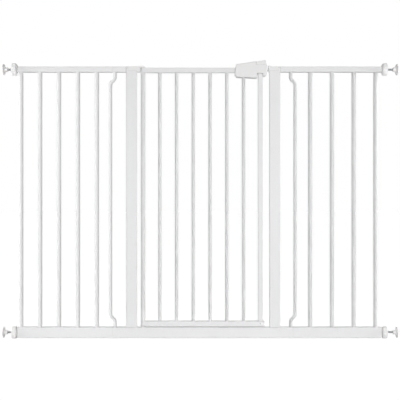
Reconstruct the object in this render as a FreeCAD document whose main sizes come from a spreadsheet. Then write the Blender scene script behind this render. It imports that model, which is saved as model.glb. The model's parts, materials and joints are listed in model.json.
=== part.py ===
"""Pressure-fit safety gate with extension panels, in millimetres.

+X runs along the gate, from the hinge side to the latch side. +Y points to the rear, and +Z up.
The origin is on the floor, half way between the two walls. A steel U-frame of two wide posts on a
bottom rail carries a swinging door. Extension panels plug into both sides of the frame, and four
threaded spindles with handwheels press the whole gate between the walls.
"""
import FreeCAD, Part
import math
import os
import re
import Sketcher

Vector = FreeCAD.Vector

SIZES = {
    # frame tubes
    "gate_height": 998.0,         # floor to the top of the upper rails
    "doorway_width": 486.0,       # clear width between the two posts
    "tube_depth": 20.0,           # front to back, posts and frame rails alike
    "post_width": 40.0,
    "bottom_rail_height": 40.0,
    "top_rail_height": 20.0,
    "tube_wall": 1.2,
    "tube_corner": 3.0,           # outer corner radius of the frame tubes
    "stub_left": 48.0,            # rail between the left post and the left seam
    "stub_right": 45.3,
    "post_top_drop": 2.0,         # post top below the top of the upper rails
    "weld_gap": 0.05,             # between welded tubes whose faces are curved
    "cut_overrun": 2.0,           # cuts that run out past a face
    # bent side bars
    "bent_bar_diameter": 12.7,
    "bar_wall": 1.0,
    "joggle_offset": 16.5,        # how far the bar steps outwards
    "joggle_lead": 16.0,          # straight stretch between a rail and the first bend
    "bend_radius": 20.0,
    "bent_bar_inset": 0.5,        # bar's outer side to the end of its stub
    # extension panels
    "left_panel_length": 343.0,
    "left_bar_count": 5,
    "left_bar_first": 9.0,        # panel's outer end to its first bar
    "left_bar_pitch": 69.6,
    "right_panel_length": 159.0,
    "right_bar_count": 2,
    "right_bar_first": 61.0,
    "right_bar_pitch": 80.0,
    "panel_bar_diameter": 16.0,
    "coupler_collar": 4.0,        # collar that shows between the frame and a panel
    "coupler_proud": 0.4,         # collar beyond the tube's face
    "coupler_plug": 30.0,         # length inside each tube
    "joiner_rib": 1.0,            # rib that shows between two panels
    "plug_gap": 0.1,              # moulded plug to tube wall, on each side
    # door
    "door_drop": 4.0,             # door's top edge below the frame's upper rails
    "door_floor_gap": 4.0,        # door's bottom edge above the frame's bottom rail
    "hinge_offset": 22.0,         # left post's face to the hinge axis
    "latch_offset": 33.0,         # right post's face to the latch stile's centre
    "hinge_stile_diameter": 17.0,
    "door_tube": 18.0,            # square tube of the door's rails and latch stile
    "door_tube_corner": 2.5,
    "door_bar_count": 6,
    "door_bar_diameter": 12.7,
    "door_cap_reach": 6.0,        # end cap beyond the bottom rail's end
    "door_cap_plug": 16.0,
    "door_rail_overhang": 0.5,    # bottom rail beyond the latch stile
    "cap_rivet_diameter": 5.0,
    "cap_rivet_head": 1.0,
    # hinge
    "hinge_pin_diameter": 8.0,
    "pin_running_gap": 0.08,      # radial, pin to bush
    "hinge_pin_engagement": 15.0,
    "hinge_pin_seat": 5.0,
    "hinge_pin_chamfer": 0.5,
    "bush_flange": 1.5,
    "bush_length": 18.0,
    "hinge_end_gap": 0.4,
    "washer_gap": 0.2,
    # saddle mouldings on the post tops
    "saddle_wall": 1.5,
    "saddle_top": 2.2,
    "saddle_cheek": 13.0,         # cheek below the post's top
    "saddle_inset": 8.0,          # cheek's outer edge from the post's outer side
    "saddle_gap": 0.1,
    "saddle_peak": 5.0,
    "arm_drop": 17.0,             # hinge arm below the post's top
    "arm_clearance": 1.5,         # hinge arm to the turning stile
    "arm_overhang": 9.0,          # arm beyond the hinge axis
    "arm_tip": 1.5,
    "arm_radius": 8.0,            # arm's rounded end, seen from above
    "saddle_edge": 0.8,
    "strike_plate": 2.0,
    "strike_drop": 18.0,
    "strike_lug_reach": 4.0,      # lug beyond the post's inner side
    "strike_lug_drop": 3.5,
    "bolt_hole_gap": 0.7,         # radial, bolt to the holes it passes or enters
    "saddle_screw_drop": 8.0,
    "saddle_screw_diameter": 3.2,
    "saddle_screw_head": 7.0,
    "saddle_screw_length": 7.0,
    "screw_head_height": 2.2,
    # latch housing, measured from the bolt's axis and the latch stile's centre
    "housing_depth": 36.0,
    "housing_wall": 2.5,
    "housing_corner": 8.0,
    "housing_edge": 3.5,
    "grip_reach": 95.0,
    "grip_top_reach": 90.0,
    "grip_top": 20.5,
    "grip_back_drop": 16.5,
    "grip_bottom_reach": 88.0,
    "grip_bottom_drop": 25.5,
    "belly_reach": 17.5,
    "belly_drop": 29.0,
    "nose_reach": 27.0,
    "nose_rise": 13.5,
    "nose_bottom_reach": 21.5,
    "nose_bottom_drop": 20.0,
    "deck_reach": 26.0,
    "crown_reach": 18.0,
    "crown_rise": 36.0,
    "shoulder_reach": 21.0,
    "shoulder_rise": 31.0,
    "slot_gap": 0.15,             # housing to the tubes that pass through its walls
    "boss_diameter": 7.0,
    "rib_thickness": 1.6,
    "notch_reach": 12.5,          # notch that shows the latch stile, beyond its centre
    "notch_drop": 12.5,           # top of the notch
    "grip_rib_reach": 72.0,
    "belly_rib_reach": 27.0,
    "grip_screw_reach": 80.0,
    "grip_screw_clear": 5.0,      # above the rail
    "belly_screw_reach": 35.0,
    "belly_screw_drop": 19.0,
    "nose_screw_reach": 14.5,
    "nose_screw_drop": 14.0,
    "latch_screw_diameter": 3.0,
    "latch_screw_head": 6.0,
    "latch_screw_sink": 1.6,
    "latch_screw_recess": 0.2,    # head below the rear shell's face
    "latch_screw_tip_gap": 1.0,   # tip to the bottom of its hole
    "screw_gap": 0.05,
    # thumb button
    "deck_rise": 18.0,            # top of the housing's walls beside the button
    "button_back": 17.0,
    "button_gap": 0.6,
    "button_clear": 5.5,          # button's underside above the rail
    "button_wall": 2.2,
    "button_edge": 1.5,
    "pivot_back": 12.0,           # button's axle behind the latch stile's centre
    "pivot_clear": 5.0,           # button's axle above the rail
    "axle_diameter": 4.0,
    "axle_seat": 1.5,
    "pivot_hub": 4.0,
    "press_angle": 12.0,
    "cam_plate": 2.5,
    "cam_plate_gap": 1.2,         # cam plate to the rail's side
    "cam_plate_margin": 3.2,
    "cam_gap": 0.3,
    # bolt and its spring
    "bolt_diameter": 6.0,
    "bolt_travel": 7.0,
    "bolt_engagement": 2.2,       # bolt's nose beyond the right post's inner face
    "bolt_tail": 30.0,
    "collar_diameter": 13.0,
    "collar_length": 3.0,
    "collar_gap": 0.1,
    "guide_back": 12.0,
    "guide_length": 13.0,
    "cross_pin_reach": 12.0,      # cross pin in front of the latch stile's centre
    "cross_pin_diameter": 3.0,
    "cross_pin_proud": 0.3,       # cross pin beyond the cam plates
    "spring_stop_reach": 45.0,
    "spring_wire": 1.2,
    "spring_diameter": 12.0,
    "spring_turns": 5.0,
    # spindles
    "rod_diameter": 8.0,
    "rod_length": 110.0,
    "rod_gap": 0.1,
    "rod_seat": 8.0,              # rod inside its foot
    "rod_show_left": 16.8,        # rod that shows between handwheel and foot
    "rod_show_right": 22.5,
    "end_flange": 4.0,
    "end_flange_taper": 12.0,
    "end_plug_length": 25.0,
    "wheel_gap": 0.2,
    "wheel_diameter": 46.0,
    "wheel_length": 19.0,
    "wheel_rim": 11.5,
    "wheel_lip": 6.0,
    "wheel_dish": 6.5,
    "wheel_hub_diameter": 17.0,
    "wheel_hub_drop": 2.0,
    "wheel_seat_diameter": 24.0,
    "wheel_edge": 1.5,
    "wheel_lobes": 10,
    "lobe_cutter_diameter": 9.0,
    "lobe_depth": 1.6,
    "foot_length": 16.0,
    "foot_diameter": 40.0,
    "foot_neck_diameter": 16.0,
    "foot_neck_length": 5.0,
    "foot_rim": 3.0,
}


def derived(size):
    """Places and lengths that follow from the driving sizes."""
    s = dict(size)
    side = s["foot_length"] + s["wheel_length"] + s["wheel_gap"] + s["end_flange"]
    left_side = side + s["rod_show_left"]
    right_side = side + s["rod_show_right"]
    left_run = s["left_panel_length"] + s["coupler_collar"] + s["stub_left"] + s["post_width"]
    right_run = s["post_width"] + s["stub_right"] + s["coupler_collar"]
    right_run += 2 * s["right_panel_length"] + s["joiner_rib"]
    overall = left_side + left_run + s["doorway_width"] + right_run + right_side
    d = {}
    d["left_wall"] = -overall / 2
    d["right_wall"] = overall / 2
    d["left_rail_end"] = d["left_wall"] + left_side
    d["right_rail_end"] = d["right_wall"] - right_side
    d["left_seam"] = d["left_rail_end"] + s["left_panel_length"]
    d["left_stub_end"] = d["left_seam"] + s["coupler_collar"]
    d["left_post_x"] = d["left_stub_end"] + s["stub_left"] + s["post_width"] / 2
    d["right_post_x"] = d["left_post_x"] + s["post_width"] + s["doorway_width"]
    d["right_stub_start"] = d["right_post_x"] + s["post_width"] / 2
    d["right_stub_end"] = d["right_stub_start"] + s["stub_right"]
    d["right_seam"] = d["right_stub_end"] + s["coupler_collar"]
    d["outer_seam"] = d["right_seam"] + s["right_panel_length"]
    d["outer_panel_start"] = d["outer_seam"] + s["joiner_rib"]
    d["hinge_x"] = d["left_post_x"] + s["post_width"] / 2 + s["hinge_offset"]
    d["latch_x"] = d["right_post_x"] - s["post_width"] / 2 - s["latch_offset"]
    # the lower spindles are on the bottom rail's axis, and their handwheels just reach the floor
    d["bottom_rail_z"] = s["wheel_diameter"] / 2
    d["bottom_rail_top"] = d["bottom_rail_z"] + s["bottom_rail_height"] / 2
    d["top_rail_z"] = s["gate_height"] - s["top_rail_height"] / 2
    d["top_rail_under"] = s["gate_height"] - s["top_rail_height"]
    d["post_top"] = s["gate_height"] - s["post_top_drop"]
    d["door_top"] = s["gate_height"] - s["door_drop"]
    d["door_bottom"] = d["bottom_rail_top"] + s["door_floor_gap"]
    d["bolt_z"] = d["door_top"] - s["door_tube"] / 2
    d["door_top_under"] = d["door_top"] - s["door_tube"]
    d["door_low_rail_z"] = d["door_bottom"] + s["door_tube"] / 2
    d["door_low_rail_top"] = d["door_bottom"] + s["door_tube"]
    d["door_bar_pitch"] = (d["latch_x"] - d["hinge_x"]) / (s["door_bar_count"] + 1)
    # bends of the side bars: two equal arcs make one step of the joggle
    d["bend_angle"] = math.acos(1 - s["joggle_offset"] / (2 * s["bend_radius"]))
    # latch: its inner pieces are set by the rail that they sit on or run in
    tube_half = s["door_tube"] / 2
    d["pivot_rise"] = tube_half + s["pivot_clear"]
    d["button_under"] = tube_half + s["button_clear"]
    d["cam_plate_inner"] = tube_half + s["cam_plate_gap"]
    cam_outer = d["cam_plate_inner"] + s["cam_plate"]
    d["cross_pin_length"] = 2 * (cam_outer + s["cross_pin_proud"])
    d["button_width"] = s["housing_depth"] - 2 * s["housing_wall"] - 2 * s["button_gap"]
    # thumb button: the cam slot runs from the cross pin at rest to where the pin is, as seen
    # from the button, once the button is pressed and the bolt drawn back
    turn = math.radians(s["press_angle"])
    pin_x = s["pivot_back"] + s["cross_pin_reach"] - s["bolt_travel"]
    pin_z = -d["pivot_rise"]
    d["cam_end_x"] = pin_x * math.cos(turn) - pin_z * math.sin(turn) - s["pivot_back"]
    d["cam_end_z"] = pin_x * math.sin(turn) + pin_z * math.cos(turn) + d["pivot_rise"]
    return d


def make_sheet(document, values):
    """Write every named value into the spreadsheet, one row each."""
    sheet = document.addObject("Spreadsheet::Sheet", "Sizes")
    for row, (name, number) in enumerate(values.items(), 1):
        sheet.set(f"A{row}", name)
        sheet.set(f"B{row}", repr(number))
        sheet.setAlias(f"B{row}", name)
    document.recompute()
    return sheet


def sized(formula):
    """Turn a formula of named values into one that reads them from the spreadsheet."""
    return re.sub(r"[a-z]+_[a-z_]+", lambda word: "Sizes." + word.group(), formula)


def bind(thing, **formulas):
    """Tie properties of an object to formulas of named values."""
    for name, formula in formulas.items():
        thing.setExpression(name, sized(formula))


# ---- sketches -------------------------------------------------------------------------------

def new_body(label):
    body = doc.addObject("PartDesign::Body", label)
    body.Label = label
    return body


def place(piece, x="0", y="0", z="0", flip=False):
    """Put a piece in the gate. A flipped piece is turned half round the vertical axis."""
    if flip:
        piece.Placement = FreeCAD.Placement(Vector(), FreeCAD.Rotation(Vector(0, 0, 1), 180))
    for axis, formula in zip("xyz", (x, y, z)):
        piece.setExpression(f"Placement.Base.{axis}", sized(formula))
    return piece


def new_sketch(body, role, lift="0"):
    """A sketch on one of the body's origin planes, or lifted from it along its normal."""
    sketch = body.newObject("Sketcher::SketchObject", "Profile")
    plane = next(f for f in body.Origin.OriginFeatures if f.Role == role)
    sketch.AttachmentSupport = [(plane, "")]
    sketch.MapMode = "FlatFace"
    sketch.setExpression("AttachmentOffset.Base.z", sized(lift))
    return sketch


def constrain(sketch, kind, *where, formula=None):
    """Add a constraint, and tie its value to a formula if it has one."""
    index = sketch.addConstraint(Sketcher.Constraint(kind, *where))
    if formula is not None:
        sketch.setExpression(f"Constraints[{index}]", sized(formula))


def fix_point(sketch, item, end, across, up):
    """Hold one point of a sketch at a place measured from the sketch's origin."""
    constrain(sketch, "DistanceX", -1, 1, item, end, value(across), formula=across)
    constrain(sketch, "DistanceY", -1, 1, item, end, value(up), formula=up)


def value(formula):
    """The number that a formula of named values comes to."""
    return float(sheet.evalExpression(sized(formula)))


def outline(body, role, corners, lift="0"):
    """A closed outline of straight sides through corners, each a pair of formulas."""
    sketch = new_sketch(body, role, lift)
    count = len(corners)
    points = [Vector(value(across), value(up), 0) for across, up in corners]
    for i in range(count):
        sketch.addGeometry(Part.LineSegment(points[i], points[(i + 1) % count]), False)
    for i in range(count):
        constrain(sketch, "Coincident", i, 2, (i + 1) % count, 1)
    for i, (across, up) in enumerate(corners):
        fix_point(sketch, i, 1, across, up)
    return sketch


def bowed(start, end, bulging):
    """Corners between two others on a quarter of an ellipse, which bulges out or flares in."""
    corners = []
    for step in range(1, CURVE_SIDES):
        angle = 90 * step / CURVE_SIDES
        rising, easing = f"sin({angle})", f"(1 - cos({angle}))"
        across, up = (easing, rising) if bulging else (rising, easing)
        corners.append((f"{start[0]} + ({end[0]} - ({start[0]})) * {across}",
                        f"{start[1]} + ({end[1]} - ({start[1]})) * {up}"))
    return [start, *corners, end]


def rectangle(body, role, left, right, low, high, lift="0"):
    return outline(body, role, [(left, low), (right, low), (right, high), (left, high)], lift)


def centred(body, role, across, up, lift="0"):
    """A rectangle round the sketch's origin."""
    return rectangle(body, role, f"-({across}) / 2", f"({across}) / 2",
                     f"-({up}) / 2", f"({up}) / 2", lift)


def circles(body, role, places, *diameters, lift="0"):
    """Circles of each diameter round each place. Two diameters make a ring."""
    sketch = new_sketch(body, role, lift)
    for across, up in places:
        for diameter in diameters:
            circle = Part.Circle(Vector(), Vector(0, 0, 1), 1.0)
            item = sketch.addGeometry(circle, False)
            fix_point(sketch, item, 3, across, up)
            constrain(sketch, "Diameter", item, 1.0, formula=diameter)
    return sketch


# ---- features -------------------------------------------------------------------------------

def pad(body, sketch, length, back=False, both=False, taper=None):
    feature = body.newObject("PartDesign::Pad", "Pad")
    feature.Profile = sketch
    feature.Reversed = back
    feature.Midplane = both
    bind(feature, Length=length)
    if taper:
        bind(feature, TaperAngle=taper)
    doc.recompute()
    return feature


def cut(body, sketch, length=None, back=False, both=False):
    """Pocket a sketch, through everything on its side unless a length is given."""
    before = body.Shape.Volume
    feature = body.newObject("PartDesign::Pocket", "Pocket")
    feature.Profile = sketch
    feature.Reversed = back
    feature.Midplane = both
    if length is None:
        feature.Type = "ThroughAll"
    else:
        bind(feature, Length=length)
    doc.recompute()
    if not body.Shape.Volume < before:
        raise RuntimeError(f"a cut in {body.Label} removes nothing")
    return feature


def revolve(body, sketch):
    """Turn a sketch a full turn about its own horizontal axis."""
    feature = body.newObject("PartDesign::Revolution", "Revolution")
    feature.Profile = sketch
    feature.ReferenceAxis = (sketch, ["H_Axis"])
    feature.Angle = 360
    doc.recompute()
    return feature


def edges_where(feature, test):
    """Names of the edges that pass a test of the edge."""
    return [f"Edge{i + 1}" for i, edge in enumerate(feature.Shape.Edges) if test(edge)]


def runs_along(edge, axis):
    """True for a straight edge parallel to an axis."""
    straight = isinstance(edge.Curve, Part.Line)
    return straight and abs(edge.tangentAt(edge.FirstParameter).dot(axis)) > 0.999


def dress(body, base, kind, names, **formulas):
    """Fillet or chamfer named edges of a feature."""
    feature = body.newObject(f"PartDesign::{kind}", kind)
    feature.Base = (base, names)
    bind(feature, **formulas)
    doc.recompute()
    return feature


def hollow(body, base, wall, is_open):
    """Leave a wall inside a solid, open at the faces that pass a test."""
    faces = [f"Face{i + 1}" for i, face in enumerate(base.Shape.Faces) if is_open(face)]
    feature = body.newObject("PartDesign::Thickness", "Wall")
    feature.Base = (base, faces)
    feature.Reversed = True
    bind(feature, Value=wall)
    doc.recompute()
    return feature


def row_of(body, original, sketch, pitch, count):
    """Repeat a feature along its sketch's horizontal axis."""
    feature = body.newObject("PartDesign::LinearPattern", "Row")
    feature.Originals = [original]
    feature.Direction = (sketch, ["H_Axis"])
    feature.Mode = "Spacing"
    bind(feature, Offset=pitch, Occurrences=count)
    body.Tip = feature
    doc.recompute()
    return feature


# ---- tubes ----------------------------------------------------------------------------------

CURVE_SIDES = 3  # straight sides that stand for each quarter curve of a turned part
AXES = {"YZ_Plane": Vector(1, 0, 0), "XY_Plane": Vector(0, 0, 1)}


def box_tube(label, role, across, up, length, corner="tube_corner"):
    """Square-cornered steel tube that starts on an origin plane and runs along its normal."""
    axis = AXES[role]
    body = new_body(label)
    solid = pad(body, centred(body, role, across, up), length)
    long_edges = edges_where(solid, lambda edge: runs_along(edge, axis))
    rounded = dress(body, solid, "Fillet", long_edges, Radius=corner)
    hollow(body, rounded, "tube_wall", lambda face: abs(face.normalAt(0, 0).dot(axis)) > 0.999)
    return body


def rail(label, height, start, end, z):
    """Frame or panel rail, along X."""
    body = box_tube(label, "YZ_Plane", "tube_depth", height, f"{end} - ({start})")
    return place(body, x=start, z=z)


def bars(label, diameter, low, high, first, pitch, count):
    """Row of round upright tubes, each from one rail to the other."""
    body = new_body(label)
    ring = circles(body, "XY_Plane", [("0", "0")], diameter, f"{diameter} - 2 * bar_wall")
    bar = pad(body, ring, f"{high} - {low}")
    row_of(body, bar, ring, pitch, count)
    return place(body, x=first, z=low)


# ---- frame ----------------------------------------------------------------------------------

def post(label, x):
    """Wide upright post on the bottom rail, with a pilot hole at the back for the saddle's screw."""
    length = "post_top - bottom_rail_top"
    body = box_tube(label, "XY_Plane", "post_width", "tube_depth", length)
    hole = circles(body, "XZ_Plane", [("0", f"{length} - saddle_screw_drop")],
                   "saddle_screw_diameter + 2 * screw_gap")
    cut(body, hole)
    return place(body, x=x, z="bottom_rail_top")


def latch_post():
    """Post on the latch side. Its inner wall has the hole that the bolt enters."""
    body = post("frame_post_right", "right_post_x")
    hole = circles(body, "YZ_Plane", [("0", "bolt_z - bottom_rail_top")],
                   "bolt_diameter + 2 * bolt_hole_gap")
    cut(body, hole)
    return body


def frame_bottom_rail():
    """Bottom rail of the frame, with a hole in its top wall for the lower hinge pin."""
    body = rail("frame_bottom_rail", "bottom_rail_height", "left_stub_end", "right_stub_end",
                "bottom_rail_z")
    hole = circles(body, "XY_Plane", [("hinge_x - left_stub_end", "0")],
                   "hinge_pin_diameter + 2 * plug_gap")
    cut(body, hole, back=True)
    return body


def bent_bar(label, x, flip):
    """Side bar that steps outwards near each rail: arcs of one radius between straight runs."""
    body = new_body(label)
    place(body, x=x, z="bottom_rail_top", flip=flip)
    radius = named["bend_radius"]
    offset = named["joggle_offset"]
    lead = named["joggle_lead"]
    turn = named["bend_angle"]
    rise = named["top_rail_under"] - named["bottom_rail_top"]
    step = 2 * radius * math.sin(turn)
    near, far = radius, offset - radius
    path = new_sketch(body, "XZ_Plane")

    def line(x1, y1, x2, y2):
        path.addGeometry(Part.LineSegment(Vector(x1, y1, 0), Vector(x2, y2, 0)), False)

    def arc(x1, y1, start, end):
        circle = Part.Circle(Vector(x1, y1, 0), Vector(0, 0, 1), radius)
        path.addGeometry(Part.ArcOfCircle(circle, start, end), False)

    line(0, 0, 0, lead)
    arc(near, lead, math.pi - turn, math.pi)
    arc(far, lead + step, -turn, 0)
    line(offset, lead + step, offset, rise - lead - step)
    arc(far, rise - lead - step, 0, turn)
    arc(near, rise - lead, math.pi, math.pi + turn)
    line(0, rise - lead, 0, rise)
    constrain(path, "Coincident", 0, 1, -1, 1)
    constrain(path, "Vertical", 0)
    joints = [(0, 2, 1, 2), (1, 1, 2, 1), (2, 2, 3, 1), (3, 2, 4, 1), (4, 2, 5, 2), (5, 1, 6, 1)]
    for joint in joints:
        constrain(path, "Tangent", *joint)
    constrain(path, "PointOnObject", 6, 2, -2)
    for bend in (1, 2, 4, 5):
        constrain(path, "Radius", bend, radius, formula="bend_radius")
    for straight in (0, 6):
        constrain(path, "DistanceY", straight, 1, straight, 2, lead, formula="joggle_lead")
    constrain(path, "DistanceX", -1, 1, 3, 1, offset, formula="joggle_offset")
    constrain(path, "DistanceY", -1, 1, 6, 2, rise, formula="top_rail_under - bottom_rail_top")
    ring = circles(body, "XY_Plane", [("0", "0")], "bent_bar_diameter",
                   "bent_bar_diameter - 2 * bar_wall")
    doc.recompute()
    sweep = body.newObject("PartDesign::AdditivePipe", "Sweep")
    sweep.Profile = ring
    sweep.Spine = (path, [f"Edge{i + 1}" for i in range(path.GeometryCount)])
    doc.recompute()
    return body


def saddle(label, corners, x, tip=None):
    """Moulding that sits astride a post's top. Its outline is drawn from the post's top centre,
    and the upright edges at the tip are rounded off."""
    body = new_body(label)
    depth = "tube_depth + 2 * saddle_gap + 2 * saddle_wall"
    solid = pad(body, outline(body, "XZ_Plane", corners), depth, both=True)
    if tip:
        end = value(tip)
        upright = edges_where(solid, lambda edge: runs_along(edge, Vector(0, 0, 1))
                              and abs(edge.CenterOfMass.x - end) < 0.01)
        solid = dress(body, solid, "Fillet", upright, Radius="arm_radius")
    side = value(depth) / 2
    rim = edges_where(solid, lambda edge: edge.BoundBox.ZMin > 0.01
                      and edge.BoundBox.YLength < 0.01
                      and abs(abs(edge.CenterOfMass.y) - side) < 0.01)
    dress(body, solid, "Fillet", rim, Radius="saddle_edge")
    inside = "tube_depth / 2 + saddle_gap"
    seat = rectangle(body, "XY_Plane", "-post_width / 2 - saddle_gap", "post_width / 2 + saddle_gap",
                     f"-({inside})", inside)
    cut(body, seat)
    hole = circles(body, "XZ_Plane", [("0", "-saddle_screw_drop")],
                   "saddle_screw_diameter + 2 * screw_gap")
    cut(body, hole)
    return place(body, x=x, z="post_top")


def hinge_bracket():
    """Saddle on the left post, with an arm that reaches over the door's hinge stile."""
    axis = "post_width / 2 + hinge_offset"
    web = f"{axis} - hinge_stile_diameter / 2 - arm_clearance"
    under = "door_top - post_top + hinge_end_gap"
    tip = f"{axis} + arm_overhang"
    face = "post_width / 2 + saddle_gap"
    outer = "-post_width / 2 + saddle_inset"
    body = saddle("hinge_bracket", [
        (outer, "-saddle_cheek"), (face, "-saddle_cheek"), (face, "-arm_drop"),
        (web, "-arm_drop"), (web, under), (tip, under), (tip, "arm_tip"),
        (axis, "saddle_peak"), (face, "saddle_top"), ("-post_width / 2", "saddle_top"),
        ("-post_width / 2", "0"), (outer, "0"),
    ], "left_post_x", tip)
    seat = circles(body, "XY_Plane", [(axis, "0")], "hinge_pin_diameter + 2 * screw_gap",
                   lift=under)
    cut(body, seat, "hinge_pin_seat", back=True)
    return body


def strike_cap():
    """Saddle on the right post: a plate with the bolt's hole, and a lug that the door stops under."""
    face = "-post_width / 2 - saddle_gap"
    plate = f"{face} - strike_plate"
    lug = "-post_width / 2 - strike_lug_reach"
    outer = "post_width / 2 - saddle_inset"
    body = saddle("strike_cap", [
        (outer, "-saddle_cheek"), (face, "-saddle_cheek"), (face, "-strike_drop"),
        (plate, "-strike_drop"), (plate, "-strike_lug_drop"), (lug, "-strike_lug_drop"),
        (lug, "saddle_peak"), (face, "saddle_peak"), ("-post_width / 4", "saddle_top"),
        ("post_width / 2", "saddle_top"), ("post_width / 2", "0"), (outer, "0"),
    ], "right_post_x")
    hole = circles(body, "YZ_Plane", [("0", "bolt_z - post_top")],
                   "bolt_diameter + 2 * bolt_hole_gap")
    cut(body, hole)
    return body


def hinge_pin(label, length, z):
    """Plain steel pin on the hinge axis, chamfered at both ends."""
    body = new_body(label)
    solid = pad(body, circles(body, "XY_Plane", [("0", "0")], "hinge_pin_diameter"), length)
    rims = edges_where(solid, lambda edge: not isinstance(edge.Curve, Part.Line))
    dress(body, solid, "Chamfer", rims, Size="hinge_pin_chamfer")
    return place(body, x="hinge_x", z=z)


def hinge_washer():
    """Nylon washer that carries the door's weight on the bottom rail."""
    body = new_body("hinge_washer")
    ring = circles(body, "XY_Plane", [("0", "0")], "hinge_stile_diameter",
                   "hinge_pin_diameter + 2 * plug_gap")
    pad(body, ring, "door_floor_gap - washer_gap")
    return place(body, x="hinge_x", z="bottom_rail_top")


def screw(body, x, face, head, shank, length, height):
    """One pan-head screw along Y: the head lies behind the face, and the shank runs forwards."""
    head_disc = circles(body, "XZ_Plane", [x], head, lift=f"-({face})")
    pad(body, head_disc, height, back=True)
    pin = circles(body, "XZ_Plane", [x], shank, lift=f"-({face})")
    pad(body, pin, length)


def saddle_screws():
    """The two screws that hold the saddles to the posts."""
    body = new_body("saddle_screws")
    face = "tube_depth / 2 + saddle_gap + saddle_wall"
    for x in ("left_post_x", "right_post_x"):
        screw(body, (x, "post_top - saddle_screw_drop"), face, "saddle_screw_head",
              "saddle_screw_diameter", "saddle_screw_length", "screw_head_height")
    return place(body)


# ---- extension panels -----------------------------------------------------------------------

def coupler(label, height, x, collar, proud, z):
    """Moulded plug between two rails, with a collar or rib that shows at the seam."""
    body = new_body(label)
    core = centred(body, "YZ_Plane", "tube_depth - 2 * tube_wall - 2 * plug_gap",
                   f"{height} - 2 * tube_wall - 2 * plug_gap", lift="-coupler_plug")
    solid = pad(body, core, f"2 * coupler_plug + {collar}")
    long_edges = edges_where(solid, lambda edge: runs_along(edge, Vector(1, 0, 0)))
    dress(body, solid, "Chamfer", long_edges, Size="tube_corner - tube_wall")
    ring = centred(body, "YZ_Plane", f"tube_depth + 2 * {proud}", f"{height} + 2 * {proud}")
    flange = pad(body, ring, collar)
    outer = named["tube_depth"] / 2
    rim = edges_where(flange, lambda edge: runs_along(edge, Vector(1, 0, 0))
                      and abs(edge.CenterOfMass.y) > outer - 0.01)
    dress(body, flange, "Fillet", rim, Radius="tube_corner")
    return place(body, x=x, z=z)


def end_plug(label, height, x, z, flip):
    """Tapered plug in a rail's outer end. The spindle slides through its bore."""
    body = new_body(label)
    flange = pad(body, centred(body, "YZ_Plane", "tube_depth", height), "end_flange",
                 taper="-end_flange_taper")
    corners = edges_where(flange, lambda edge: abs(edge.tangentAt(edge.FirstParameter).x) > 0.5)
    dress(body, flange, "Chamfer", corners, Size="tube_corner / 2")
    core = centred(body, "YZ_Plane", "tube_depth - 2 * tube_wall - 2 * plug_gap",
                   f"{height} - 2 * tube_wall - 2 * plug_gap")
    solid = pad(body, core, "end_plug_length", back=True)
    long_edges = edges_where(solid, lambda edge: edge.CenterOfMass.x < -1
                             and runs_along(edge, Vector(1, 0, 0)))
    dress(body, solid, "Chamfer", long_edges, Size="tube_corner - tube_wall")
    cut(body, circles(body, "YZ_Plane", [("0", "0")], "rod_diameter + 2 * rod_gap"), both=True)
    return place(body, x=x, z=z, flip=flip)


# ---- door -----------------------------------------------------------------------------------

def door_hinge_stile():
    """Round tube that turns about the hinge axis, with a bush in each end."""
    body = new_body("door_hinge_stile")
    ring = circles(body, "XY_Plane", [("0", "0")], "hinge_stile_diameter",
                   "hinge_stile_diameter - 2 * tube_wall")
    pad(body, ring, "door_top - door_bottom - 2 * bush_flange")
    return place(body, x="hinge_x", z="door_bottom + bush_flange")


def stile_bushes():
    """Flanged nylon bushes in the two ends of the hinge stile. The hinge pins turn in them."""
    body = new_body("stile_bushes")
    bore = "hinge_pin_diameter + 2 * pin_running_gap"
    for end, down in (("0", False), ("door_top - door_bottom", True)):
        flange = circles(body, "XY_Plane", [("0", "0")], "hinge_stile_diameter", bore, lift=end)
        pad(body, flange, "bush_flange", back=down)
        sleeve = circles(body, "XY_Plane", [("0", "0")],
                         "hinge_stile_diameter - 2 * tube_wall - 2 * plug_gap", bore, lift=end)
        pad(body, sleeve, "bush_length", back=down)
    return place(body, x="hinge_x", z="door_bottom")


def door_rail(label, z, reach):
    """Square door rail, coped to the round hinge stile and welded to it."""
    length = f"latch_x + {reach} - hinge_x"
    body = box_tube(label, "YZ_Plane", "door_tube", "door_tube", length, "door_tube_corner")
    cope = circles(body, "XY_Plane", [("0", "0")], "hinge_stile_diameter + 2 * weld_gap")
    cut(body, cope, both=True)
    return place(body, x="hinge_x", z=z)


def door_top_rail():
    """Top rail. It runs over the latch stile, and the latch bolt slides inside its end."""
    body = door_rail("door_top_rail", "bolt_z", "door_tube / 2")
    end = "latch_x + door_tube / 2 + cut_overrun - hinge_x"
    notch = "latch_x - hinge_x + cross_pin_reach - bolt_travel - cross_pin_diameter"
    half = "cross_pin_diameter / 2 + cam_gap"
    cut(body, rectangle(body, "XZ_Plane", notch, end, f"-({half})", half), both=True)
    cross = circles(body, "XZ_Plane", [("latch_x - hinge_x - spring_stop_reach", "0")],
                    "latch_screw_diameter + 2 * screw_gap")
    cut(body, cross, both=True)
    return body


def door_bottom_rail():
    """Bottom rail, with the rivet's hole in its front wall."""
    body = door_rail("door_bottom_rail", "door_low_rail_z", "door_tube / 2 + door_rail_overhang")
    hole = circles(body, "XZ_Plane", [("latch_x - hinge_x", "0")],
                   "cap_rivet_diameter / 2 + 2 * screw_gap")
    cut(body, hole, back=True)
    return body


def door_latch_stile():
    body = box_tube("door_latch_stile", "XY_Plane", "door_tube", "door_tube",
                    "door_top_under - door_low_rail_top", "door_tube_corner")
    return place(body, x="latch_x", z="door_low_rail_top")


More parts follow.
